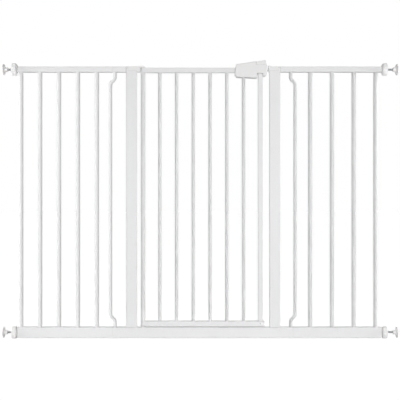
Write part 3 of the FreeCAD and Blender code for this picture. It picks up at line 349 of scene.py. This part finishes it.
# A darker tone for the melt's cloudy tones and for the painted shade in the grain's pits.
CLOUD_AND_PIT_SHADE_DARKENING = 0.95
SCUFFS = (0.60, 0.78)
PIT_SHADE_RANGE = (0.65, 0.40)
SCUFF_TINT = 0.3
SEAM_SHADE_AND_DUST_SHARE = 0.45
SEAM_SHADE_AND_DUST_DRIFT = 0.40
LIGHT_REACH = (4.0 * MM, 3.0 * MM, 2.5 * MM)
LIGHT_REACH_SCALE = 0.4


def moulded(name, colour, grain_size, grain_depth, roughness, glow):
    plastic = Finish(name)
    where = plastic.place()
    flow = plastic.noise(where, FLOW_SIZE, detail=3.0)
    grain = plastic.noise(where, grain_size, detail=2.0, roughness=0.6)
    rubbed = plastic.noise(where, SCUFF_SIZE, detail=6.0, roughness=0.7)
    scuff = plastic.remap(rubbed, *SCUFFS)
    # The pits of the grain are darkened: painted shade of its relief. The flow's clouds are real tone.
    pit_shade_mask = plastic.remap(grain, *PIT_SHADE_RANGE)
    # Seams are darkened by an Ambient Occlusion mask: painted shade, with some dust in it.
    shade_and_dust_in_seams = plastic.crevice(PLASTIC_CORNER) * (SEAM_SHADE_AND_DUST_SHARE + SEAM_SHADE_AND_DUST_DRIFT * flow)
    darker = tuple(channel * CLOUD_AND_PIT_SHADE_DARKENING for channel in colour[:3]) + (1.0,)
    tone = plastic.blend(0.5 * flow + 0.5 * pit_shade_mask, colour, darker)
    tone = plastic.blend(SCUFF_TINT * scuff, tone, SCUFFED_PLASTIC)
    tone = plastic.blend(shade_and_dust_in_seams, tone, CORNER_SHADE_AND_DUST)
    gloss = roughness + 0.12 * (grain - 0.5) + 0.12 * scuff
    return plastic.shade(
        Base_Color=tone, Roughness=gloss, Normal=plastic.bump(grain, grain_depth, strength=0.7),
        IOR=1.46, Subsurface_Weight=glow, Subsurface_Radius=LIGHT_REACH,
        Subsurface_Scale=LIGHT_REACH_SCALE)


print("moulded finishes ready")

# %% [markdown]
# ## Zinc plate and spring wire
# Rods, pins and screws are mild steel with bright zinc plate. Zinc dulls in soft patches, so
# both its colour and its roughness follow a patchy noise. They could each have their own, but one
# noise keeps the dull places and the dark places together, as they are on plate. Drawn spring wire
# has fine lines from the die. A Mapping node that squeezes a noise in two directions draws lines
# out of it.

# %% Two metals
ZINC_DULL = (0.30, 0.31, 0.33, 1.0)
ZINC_BRIGHT = (0.42, 0.42, 0.42, 1.0)
WIRE_DARK = (0.28, 0.28, 0.30, 1.0)
WIRE_BRIGHT = (0.42, 0.42, 0.43, 1.0)
PATCH_SIZE = 3.0 * MM
PLATE_GRAIN = 0.35 * MM
DRAWN_LINE = 1.2 * MM
DRAWN_STRETCH = (1.0, 8.0, 8.0)
METAL_RELIEF = 0.01 * MM


def zinc_plate():
    zinc = Finish("zinc_steel")
    where = zinc.place()
    patches = zinc.noise(where, PATCH_SIZE, detail=4.0, roughness=0.65)
    grain = zinc.noise(where, PLATE_GRAIN, detail=2.0)
    return zinc.shade(
        Base_Color=zinc.blend(patches, ZINC_DULL, ZINC_BRIGHT), Metallic=1.0,
        Roughness=0.26 + 0.20 * patches, Normal=zinc.bump(grain, METAL_RELIEF, strength=0.4))


def spring_wire():
    wire = Finish("spring_steel")
    stretched = wire.node("ShaderNodeMapping",
                          values={"Vector": wire.place(), "Scale": DRAWN_STRETCH})
    lines = wire.noise(stretched, DRAWN_LINE, detail=3.0)
    return wire.shade(
        Base_Color=wire.blend(lines, WIRE_DARK, WIRE_BRIGHT), Metallic=1.0,
        Roughness=0.30 + 0.15 * lines, Normal=wire.bump(lines, METAL_RELIEF, strength=0.4))


print("metal finishes ready")

# %% [markdown]
# ## Finish every CAD node
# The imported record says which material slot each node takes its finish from. Naming all nodes here
# would repeat it, so the finishes are kept by slot, and one loop dresses the whole gate. New
# pieces take theirs from the same table.

# %% Dress the nodes
HOUSING_WHITE = grey(0.810, 0.002)
FOOT_WHITE = grey(0.795, 0.002)
NATURAL_NYLON = (0.76, 0.755, 0.74, 1.0)

finishes = {
    "powder_coat": powder_coat(),
    "white_plastic": moulded("white_plastic", HOUSING_WHITE, grain_size=0.6 * MM,
                             grain_depth=0.035 * MM, roughness=0.40, glow=0.06),
    "foot_plastic": moulded("foot_plastic", FOOT_WHITE, grain_size=0.8 * MM,
                            grain_depth=0.045 * MM, roughness=0.52, glow=0.10),
    "nylon": moulded("nylon", NATURAL_NYLON, grain_size=1.0 * MM,
                     grain_depth=0.02 * MM, roughness=0.45, glow=0.25),
    "zinc_steel": zinc_plate(),
    "spring_steel": spring_wire(),
}
slot_of = {part["node"]: part["material_slot"] for part in frame["record"]["subparts"]}
body_of = {node: body for body, nodes in frame["record"]["behaviour"]["bodies"].items()
           for node in nodes}


def dress(piece, slot):
    piece.data.materials.clear()
    piece.data.materials.append(finishes[slot])


for name, node in frame["nodes"].items():
    dress(node, slot_of[name])
print("dressed", len(frame["nodes"]), "nodes in", len(finishes), "finishes")

# %% [markdown]
# ## Helpers for new pieces
# A new piece is made around the world's X, Y or Z axis, where bmesh operators are easy to use,
# and then moved to its place inside its mesh. Its object stays at the origin, as every CAD node's
# does, so patterns on object coordinates run on without a jump. Smooth shading hides the facets
# of a turned shape, and edges over a given angle stay sharp.

# %% Closing a piece
X, Y, Z = Vector((1, 0, 0)), Vector((0, 1, 0)), Vector((0, 0, 1))


def start_of(low, high, axis):
    """The middle of a box's lower end along an axis, where a piece along it begins."""
    return tuple(near if along else (near + far) / 2 for near, far, along in zip(low, high, axis))


def finish_piece(mesh, name, slot, body, crease, replaced=()):
    """Turn a bmesh into a piece: smooth but for its creases, dressed, and riding its body."""
    bmesh.ops.recalc_face_normals(mesh, faces=mesh.faces)
    for face in mesh.faces:
        face.smooth = True
    for edge in mesh.edges:
        edge.smooth = edge.is_manifold and edge.calc_face_angle() < math.radians(crease)
    data = bpy.data.meshes.new(name)
    mesh.to_mesh(data)
    mesh.free()
    piece = bpy.data.objects.new(name, data)
    scene.collection.objects.link(piece)
    dress(piece, slot)
    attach(piece, body)
    if replaced:
        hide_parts(*replaced)
    print(name, len(data.polygons), "faces on", body)
    return piece


print("piece helpers ready")

# %% [markdown]
# ## Threaded rods
# Each spindle is an M8 rod, with a turn every 1.25 mm. The spin operator draws the thread: one
# tooth's outline is turned about the rod's axis, and a small shift at each step makes a helix. A
# turn ends where the next begins, so merging doubles gives one skin. The rod is spun a little too
# long, and bisect trims both ends square, as a saw would. A bump could stand in for a thread, but
# its outline would stay straight, and the outline is what one sees of a thread.

# %% Cut the threads
THREAD_PITCH = 1.25 * MM
THREAD_DEPTH = 0.61 * MM
THREAD_STEPS = 16
THREAD_MERGE = 0.01 * MM
CREST = THREAD_PITCH / 8
ROOT = THREAD_PITCH / 4
FLANK = (THREAD_PITCH - CREST - ROOT) / 2
LEAD_IN_TURNS = 1.5
SPARE_TURNS = 2
ON_PLANE = 0.0001 * MM


def threaded_rod(length, radius):
    """A rod along X from the origin, with a closed end at each side."""
    turns = math.ceil(length / THREAD_PITCH) + SPARE_TURNS
    tooth = [(0, -THREAD_DEPTH), (ROOT, -THREAD_DEPTH), (ROOT + FLANK, 0),
             (ROOT + FLANK + CREST, 0), (THREAD_PITCH, -THREAD_DEPTH)]
    mesh = bmesh.new()
    first = -THREAD_PITCH * LEAD_IN_TURNS
    points = [mesh.verts.new((first + along, 0, radius + out)) for along, out in tooth]
    edges = [mesh.edges.new(pair) for pair in zip(points, points[1:])]
    bmesh.ops.spin(mesh, geom=points + edges, cent=(0, 0, 0), axis=X,
                   dvec=X * (THREAD_PITCH / THREAD_STEPS), angle=turns * 2 * math.pi,
                   steps=turns * THREAD_STEPS, use_merge=False)
    bmesh.ops.remove_doubles(mesh, verts=mesh.verts, dist=THREAD_MERGE)
    for place, outwards in ((0, -X), (length, X)):
        cut = bmesh.ops.bisect_plane(
            mesh, geom=mesh.verts[:] + mesh.edges[:] + mesh.faces[:], dist=ON_PLANE,
            plane_co=(place, 0, 0), plane_no=outwards, clear_outer=True)
        rim = [item for item in cut["geom_cut"] if isinstance(item, bmesh.types.BMEdge)]
        bmesh.ops.contextual_create(mesh, geom=rim)
    return mesh


rod_low, rod_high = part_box("threaded_rod_left_top")
pattern = threaded_rod(rod_high.x - rod_low.x, (rod_high.z - rod_low.z) / 2)
for side in ("left", "right"):
    for level in ("top", "bottom"):
        node = f"threaded_rod_{side}_{level}"
        rod = pattern.copy()
        bmesh.ops.translate(rod, verts=rod.verts, vec=start_of(*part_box(node), X))
        finish_piece(rod, f"rod_thread_{side}_{level}", "zinc_steel", body_of[node],
                     crease=25, replaced=[node])
pattern.free()

# %% [markdown]
# ## Where one solid ends
# Bars and screws of one kind share a CAD node. A mesh from CAD is loose triangles, so its solids
# can't be told apart at first. Merging a copy's doubles joins each solid's own faces, and walking
# from vertex to vertex over the edges then finds one solid after another.

# %% Islands of a node
SAME_POINT = 0.001 * MM


def islands(node_name):
    """The lowest and highest corner of each separate solid in a node."""
    copy = bmesh.new()
    copy.from_mesh(frame["nodes"][node_name].data)
    bmesh.ops.remove_doubles(copy, verts=copy.verts, dist=SAME_POINT)
    left = set(copy.verts)
    found = []
    while left:
        group = {left.pop()}
        frontier = set(group)
        while frontier:
            frontier = {edge.other_vert(vert) for vert in frontier
                        for edge in vert.link_edges} & left
            left -= frontier
            group |= frontier
        low = Vector([min(vert.co[axis] for vert in group) for axis in range(3)])
        high = Vector([max(vert.co[axis] for vert in group) for axis in range(3)])
        found.append((low, high))
    copy.free()
    return sorted(found, key=lambda pair: tuple(pair[0]))


print("bars of the door:", len(islands("door_bars")))

# %% [markdown]
# ## A cross recess
# Pan-head screws hold the saddles to the posts and the latch's two shells together. A screw is a
# turned outline, so a spin makes it. The recess is cut after that: planes slice the flat of the
# head along the sides of a cross, and the faces inside the cross are pushed in. That costs a few
# faces, and needs no boolean.

# %% Turned shapes and their recess
TURNED_STEPS = 28
RECESS_TAPER = 0.75


def turned(outline):
    """A closed outline of (distance along, radius) pairs, spun about the Y axis."""
    mesh = bmesh.new()
    points = [mesh.verts.new((radius, along, 0)) for along, radius in outline]
    edges = [mesh.edges.new(pair) for pair in zip(points, points[1:])]
    bmesh.ops.spin(mesh, geom=points + edges, cent=(0, 0, 0), axis=Y, dvec=(0, 0, 0),
                   angle=2 * math.pi, steps=TURNED_STEPS, use_merge=True)
    bmesh.ops.remove_doubles(mesh, verts=mesh.verts, dist=SAME_POINT)
    return mesh


def cross_recess(mesh, face_y, arm, width, depth):
    """Push a cross into the flat face at face_y, looking along -Y."""
    for normal in (X, Z):
        for distance in (-arm, -width, width, arm):
            flat = [face for face in mesh.faces
                    if all(abs(vert.co.y - face_y) < SAME_POINT for vert in face.verts)]
            rims = dict.fromkeys(item for face in flat for item in (*face.verts, *face.edges))
            bmesh.ops.bisect_plane(mesh, geom=[*rims, *flat], dist=ON_PLANE,
                                   plane_co=normal * distance, plane_no=normal)
    inside = []
    for face in mesh.faces:
        centre = face.calc_center_median()
        nearer, farther = sorted((abs(centre.x), abs(centre.z)))
        if abs(centre.y - face_y) < SAME_POINT and nearer < width and farther < arm:
            inside.append(face)
    pushed = bmesh.ops.extrude_face_region(mesh, geom=inside)
    bottom = [item for item in pushed["geom"] if isinstance(item, bmesh.types.BMVert)]
    bmesh.ops.delete(mesh, geom=inside, context="FACES_ONLY")
    bmesh.ops.translate(mesh, verts=bottom, vec=(0, -depth, 0))
    bmesh.ops.scale(mesh, verts=bottom, vec=(RECESS_TAPER, 1.0, RECESS_TAPER))


print("turned shapes ready")

# %% [markdown]
# ## The screws
# A pan head is a low dome with a flat top, and the tip of the shank is blunt. Every size but the
# head's height is a share of the solid with which CAD keeps the place, so one function makes the
# larger and the smaller screws.

# %% Drive the screws
SHANK_SHARE = 0.46
TIP_SHARE = 0.35
POINT_SHARE = 0.2
DOME_SHARE = 0.55
FLAT_SHARE = 0.62
ARM_SHARE = 0.50
SLOT_SHARE = 0.13
RECESS_SHARE = 0.55


def angles(*degrees):
    return [math.radians(angle) for angle in degrees]


def pan_screw(low, high, head_height):
    """A screw along Y in the box of its solid: the head is at the rear, the tip in front."""
    radius = (high.x - low.x) / 2
    shank = radius * SHANK_SHARE
    length = high.y - low.y
    point = min(shank, POINT_SHARE * length)
    dome_height = head_height * DOME_SHARE
    dome = [(length - dome_height * (1 - math.cos(turn)),
             radius * (FLAT_SHARE + (1 - FLAT_SHARE) * math.sin(turn)))
            for turn in angles(0, 35, 65, 90)]
    outline = [(0, 0.0), (0, shank * TIP_SHARE), (point, shank), (length - head_height, shank),
               (length - head_height, radius), *reversed(dome), (length, 0.0)]
    mesh = turned(outline)
    cross_recess(mesh, length, arm=radius * ARM_SHARE, width=radius * SLOT_SHARE,
                 depth=head_height * RECESS_SHARE)
    bmesh.ops.translate(mesh, verts=mesh.verts, vec=start_of(low, high, Y))
    return mesh


def screw_set(node, head_height):
    """All screws of one node as one piece."""
    joined = bmesh.new()
    for low, high in islands(node):
        one = bpy.data.meshes.new("one_screw")
        screw = pan_screw(low, high, head_height)
        screw.to_mesh(one)
        screw.free()
        joined.from_mesh(one)
        bpy.data.meshes.remove(one)
    finish_piece(joined, f"{node}_driven", "zinc_steel", body_of[node],
                 crease=30, replaced=[node])


screw_set("saddle_screws", head_height=2.2 * MM)
screw_set("latch_screws", head_height=1.4 * MM)

# %% [markdown]
# ## Domed rivet
# A blind rivet holds the end cap in the door's bottom rail. Its head is a shallow dome with a
# small hole, where the mandrel snapped off. A scaled sphere would lack that hole and the flat
# seat, so the rivet is one more turned outline.

# %% Set the rivet
RIVET_HEAD = 1.0 * MM
HOLE_FLOOR = 0.55 * RIVET_HEAD
HOLE_CURVE = 0.45 * RIVET_HEAD
HOLE_LIP = 0.08 * RIVET_HEAD
HOLE_SHARE = 0.28
FLOOR_SHARE = 0.8
NECK_SHARE = 0.52
END_SHARE = 0.48


def rivet(low, high):
    """A rivet along Y whose domed head is in front."""
    radius = (high.x - low.x) / 2
    length = high.y - low.y
    hole = radius * HOLE_SHARE
    inner = [(HOLE_FLOOR, 0.0), (HOLE_CURVE, hole * FLOOR_SHARE), (HOLE_LIP, hole)]
    dome = [(RIVET_HEAD * (1 - math.cos(turn)), radius * math.sin(turn))
            for turn in angles(25, 45, 65, 90)]
    shank = [(RIVET_HEAD, radius * NECK_SHARE), (length, radius * END_SHARE), (length, 0.0)]
    mesh = turned(inner + dome + shank)
    bmesh.ops.translate(mesh, verts=mesh.verts, vec=start_of(low, high, Y))
    return mesh


finish_piece(rivet(*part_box("door_cap_rivet")), "door_cap_rivet_domed", "zinc_steel",
             "door", crease=40, replaced=["door_cap_rivet"])

# %% [markdown]
# ## Return spring
# A compression spring of round wire sits in the top rail, between the bolt's collar and a screw
# that crosses the rail. The wire's round section is spun about the bolt's axis with a shift at each
# step. The shift is one wire wide for the closed end coils, and wider for the open ones between
# them. A curve with a round bevel would do as well, but its ends would need caps. The spring is
# the one piece that changes its shape in use: it shortens towards the screw as the bolt is drawn
# back, by the bolt's travel, which is printed.

# %% Wind the spring
SPRING_WIRE = 1.2 * MM
SPRING_SECTION = 10
SPRING_STEPS = 30
END_COILS = 1
OPEN_COILS = 4
END_PITCH = SPRING_WIRE * 1.04


def wound_spring(length, outer_radius):
    """A spring along X from the origin, with closed end coils."""
    open_pitch = (length - SPRING_WIRE - 2 * END_COILS * END_PITCH) / OPEN_COILS
    wire_radius = SPRING_WIRE / 2
    mesh = bmesh.new()
    section = bmesh.ops.create_circle(mesh, segments=SPRING_SECTION, radius=wire_radius)["verts"]
    bmesh.ops.translate(mesh, verts=section, vec=(wire_radius, outer_radius - wire_radius, 0))
    drawn = mesh.verts[:] + mesh.edges[:]
    for coils, pitch in ((END_COILS, END_PITCH), (OPEN_COILS, open_pitch), (END_COILS, END_PITCH)):
        drawn = bmesh.ops.spin(mesh, geom=drawn, cent=(0, 0, 0), axis=X,
                               dvec=X * (pitch / SPRING_STEPS), angle=coils * 2 * math.pi,
                               steps=coils * SPRING_STEPS, use_merge=False)["geom_last"]
    open_ends = [edge for edge in mesh.edges if edge.is_boundary]
    bmesh.ops.holes_fill(mesh, edges=open_ends, sides=SPRING_SECTION)
    return mesh


spring_low, spring_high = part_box("latch_spring")
spring_length = spring_high.x - spring_low.x
spring_start = start_of(spring_low, spring_high, X)
spring = wound_spring(spring_length, (spring_high.z - spring_low.z) / 2)
bmesh.ops.translate(spring, verts=spring.verts, vec=spring_start)
coil = finish_piece(spring, "latch_spring_wound", "spring_steel", body_of["latch_spring"],
                    crease=60, replaced=["latch_spring"])
bolt_travel = next(joint["range_m"][1] for joint in frame["joints"]
                   if joint["name"] == "bolt_slide")
1 - bolt_travel / spring_length
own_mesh(coil)
print("the spring shortens by", round(bolt_travel / MM, 2), "mm")

# %% [markdown]
# ## Weld beads
# Every round bar is welded into its rails, and the coat runs over the bead, so a small soft
# collar shows at each end. A bevel along the joint would need both tubes in one mesh. So a bead is
# a ring of its own: a short outline with a hollow slope, spun about the bar. The ring reaches a
# little into the rail, because the rail's corners are round.

# %% Weld the bars
BEAD = 1.7 * MM
BEAD_SINK = 1.0 * MM
BEAD_OVERLAP = BEAD * 0.2
BEAD_STEPS = 24


def bead_ring(mesh, centre_x, centre_y, z, radius, up):
    """Add one ring of weld about a bar, on the rail's face at z. up is 1 or -1."""
    section = [(-BEAD_OVERLAP, -BEAD_SINK), (BEAD, -BEAD_SINK)]
    section += [(BEAD * (1 - math.sin(turn)), BEAD * (1 - math.cos(turn)))
                for turn in angles(0, 30, 60, 90)]
    section += [(-BEAD_OVERLAP, BEAD)]
    points = [mesh.verts.new((radius + out, 0, up * rise)) for out, rise in section]
    edges = [mesh.edges.new(pair) for pair in zip(points, points[1:] + points[:1])]
    bmesh.ops.spin(mesh, geom=points + edges, cent=(0, 0, 0), axis=Z, dvec=(0, 0, 0),
                   angle=2 * math.pi, steps=BEAD_STEPS, use_merge=True)
    ring = [vert for vert in mesh.verts if not vert.tag]
    bmesh.ops.translate(mesh, verts=ring, vec=(centre_x, centre_y, z))
    for vert in ring:
        vert.tag = True


def weld_bars(node):
    """A bead at both ends of every bar in a node."""
    mesh = bmesh.new()
    for low, high in islands(node):
        centre_x, centre_y = (low.x + high.x) / 2, (low.y + high.y) / 2
        radius = (high.y - low.y) / 2
        bead_ring(mesh, centre_x, centre_y, low.z, radius, up=1)
        bead_ring(mesh, centre_x, centre_y, high.z, radius, up=-1)
    finish_piece(mesh, f"{node}_welds", "powder_coat", body_of[node], crease=50)


for node in ("panel_left_bars", "panel_inner_bars", "panel_outer_bars", "door_bars"):
    weld_bars(node)

# %% [markdown]
# ## Studio
# White goods on a white ground are drawn by their darker edges, so the light must come from a few
# clear directions. One wide soft box stands far in front and a low one lies nearer and looks up,
# so that the undersides of the rails aren't lost. One stands behind the gate, and a weak one hangs
# overhead. The low box has two weaker twins. One takes its place, as if through a scrim, for thin
# tubes that would lose their shape in so much light, and the other is added on the spindles' ends,
# whose ribs would stay too dark. An area lamp's size sets how softly it shades, and its power
# spreads over that size. No box shows in the picture, and the one behind is kept out of
# reflections too, because the rails' tops would mirror it.

# %% Hang the soft boxes
def soft_box(name, place, target, size, power):
    """A large area lamp, size (width, height) in metres, that looks at a point."""
    lamp = bpy.data.lights.new(name, "AREA")
    lamp.shape = "RECTANGLE"
    lamp.size, lamp.size_y = size
    lamp.energy = power
    box = bpy.data.objects.new(name, lamp)
    box.location = place
    box.rotation_euler = (Vector(target) - Vector(place)).to_track_quat("-Z", "Y").to_euler()
    box.visible_camera = False
    scene.collection.objects.link(box)
    print(name, "of", power, "W")
    return box


OVERHEAD = 3.4
WIDE = (4.6, 1.6)
STRIP = (4.6, 0.4)
LOW_PLACE = (0.0, -2.2, 0.05)
LOW_TARGET = (0, 0, 1.6)

front_box = soft_box("soft_box_front", place=(0.0, -5.0, 0.6), target=(0, 0, 0.35),
                     size=WIDE, power=122)
low_box = soft_box("soft_box_low", LOW_PLACE, LOW_TARGET, STRIP, power=61)
scrimmed_box = soft_box("soft_box_scrimmed", LOW_PLACE, LOW_TARGET, STRIP, power=46)
end_box = soft_box("soft_box_ends", LOW_PLACE, LOW_TARGET, STRIP, power=28)
back_box = soft_box("soft_box_back", place=(0.0, 5.0, 1.2), target=(0, 0, 0.5),
                    size=WIDE, power=215)
back_box.visible_glossy = False
soft_box("soft_box_top", place=(0.0, 0.0, OVERHEAD), target=(0, 0, 0),
         size=(3.6, 1.6), power=14)

# %% [markdown]
# ## Side lights
# A round bar shows its roundness when one side is bright and the other keeps a thin dark edge.
# One box stands at each side of the gate, tall enough for the bars' whole height, and almost in
# the gate's own plane, so that it hardly touches the fronts.

# %% Light the sides
middle_height = (cad_box[0][2] + cad_box[1][2]) / 2
left_box = soft_box("soft_box_left", place=(-3.8, -0.35, 0.55), target=(-0.5, 0, middle_height),
                    size=(1.4, 3.0), power=140)
right_box = soft_box("soft_box_right", place=(4.2, -0.20, 0.70), target=(0.3, 0, middle_height),
                     size=(1.6, 3.2), power=160)

# %% [markdown]
# ## Flags
# In a studio, black flags stand between a lamp and what it must not reach. Real flags would have
# to be placed and would show in reflections. Light linking does the same with no object in the
# way: a lamp lights only the pieces of one collection. The box at the left lights what stands
# left of the doorway, and the box at the right the rest, so every bar has one dark edge. The
# flags also keep every box but the one overhead off the floor, which then stays even.

# %% Set the flags
doorway_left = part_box("frame_post_left")[0].x
gate = [thing for thing in scene.objects if thing.type == "MESH" and thing.visible_get()]


def flag(lamp, name, lit):
    """Let a lamp light only the given pieces."""
    group = bpy.data.collections.new(name)
    for piece in lit:
        group.objects.link(piece)
    lamp.light_linking.receiver_collection = group
    print(lamp.name, "lights", len(lit), "pieces")


def named(*words):
    """The pieces of the gate with one of the words in their name."""
    return [piece for piece in gate if any(word in piece.name for word in words)]


def stands_left(piece):
    middle_x = sum(corner[0] for corner in piece.bound_box) / len(piece.bound_box)
    return middle_x < doorway_left


dimmed = [piece for piece in named("bar", "hinge_stile") if not stands_left(piece)]
flag(front_box, "lit_from_the_front", gate)
flag(low_box, "lit_from_below", [piece for piece in gate if piece not in dimmed])
flag(scrimmed_box, "lit_through_a_scrim", dimmed)
flag(end_box, "lit_at_the_ends", named("foot", "handwheel"))
flag(back_box, "lit_from_behind", gate)
flag(left_box, "lit_from_the_left", [piece for piece in gate if stands_left(piece)])
flag(right_box, "lit_from_the_right", [piece for piece in gate if not stands_left(piece)])

# %% [markdown]
# ## World
# The world is the white backdrop. A sheet of paper behind the gate could be one too, but it would
# end somewhere when the camera moves round. If the world lit the gate as strongly as it shows, no
# edge would be darker than another, so the rays that only carry light get a small share of it.

# %% Make the backdrop
WHITE = grey(1.0)
WORLD_LIGHT = 0.05

backdrop = Graph(bpy.data.worlds.new("studio_world"), "ShaderNodeOutputWorld")
strength = WORLD_LIGHT + (1 - WORLD_LIGHT) * backdrop.shown()
scene.world = backdrop.close(backdrop.node("ShaderNodeBackground", values={
    "Color": WHITE, "Strength": strength}))
scene.view_settings.view_transform = "Standard"
print("backdrop white, lighting at", WORLD_LIGHT)

# %% [markdown]
# ## Floor
# The floor has to look as white as the world behind it and still keep the shadow. A plain pale
# surface gives the shadow, and a light of its own, seen only by the camera and in reflections,
# brings the lit part up to white. The overhead box is strongest straight below itself, where the
# floor needs less light of its own. The box's light weakens outwards twice over, because its beam
# spreads and because it slants, so the nearness is squared.

# %% Lay the floor
FLOOR_SIZE = 60.0
FLOOR_TONE = grey(0.80)
BLACK = grey(0.0)
FAR_LIGHT = 0.962
BOX_LIGHT = 0.075

floor_mesh = bmesh.new()
bmesh.ops.create_grid(floor_mesh, x_segments=1, y_segments=1, size=FLOOR_SIZE / 2)
floor_data = bpy.data.meshes.new("studio_floor")
floor_mesh.to_mesh(floor_data)
floor_mesh.free()
floor = bpy.data.objects.new("studio_floor", floor_data)
scene.collection.objects.link(floor)

sheet = Finish("studio_floor")
reach = sheet.node("ShaderNodeVectorMath", {"operation": "LENGTH"}, {0: sheet.place()}, out="Value")
nearness = OVERHEAD ** 2 / (OVERHEAD ** 2 + reach * reach)
own_light = FAR_LIGHT - BOX_LIGHT * nearness * nearness
matt = sheet.node("ShaderNodeBsdfDiffuse", values={"Color": FLOOR_TONE})
glow = sheet.node("ShaderNodeEmission", values={"Color": sheet.blend(own_light, BLACK, WHITE)})
lifted = sheet.node("ShaderNodeAddShader", values={0: matt, 1: glow})
floor.data.materials.append(sheet.close(
    sheet.node("ShaderNodeMixShader", values={0: sheet.shown(), 1: matt, 2: lifted})))
print("floor of", FLOOR_SIZE, "m laid")

# %% [markdown]

# %% End of the scene
print("scene set up")
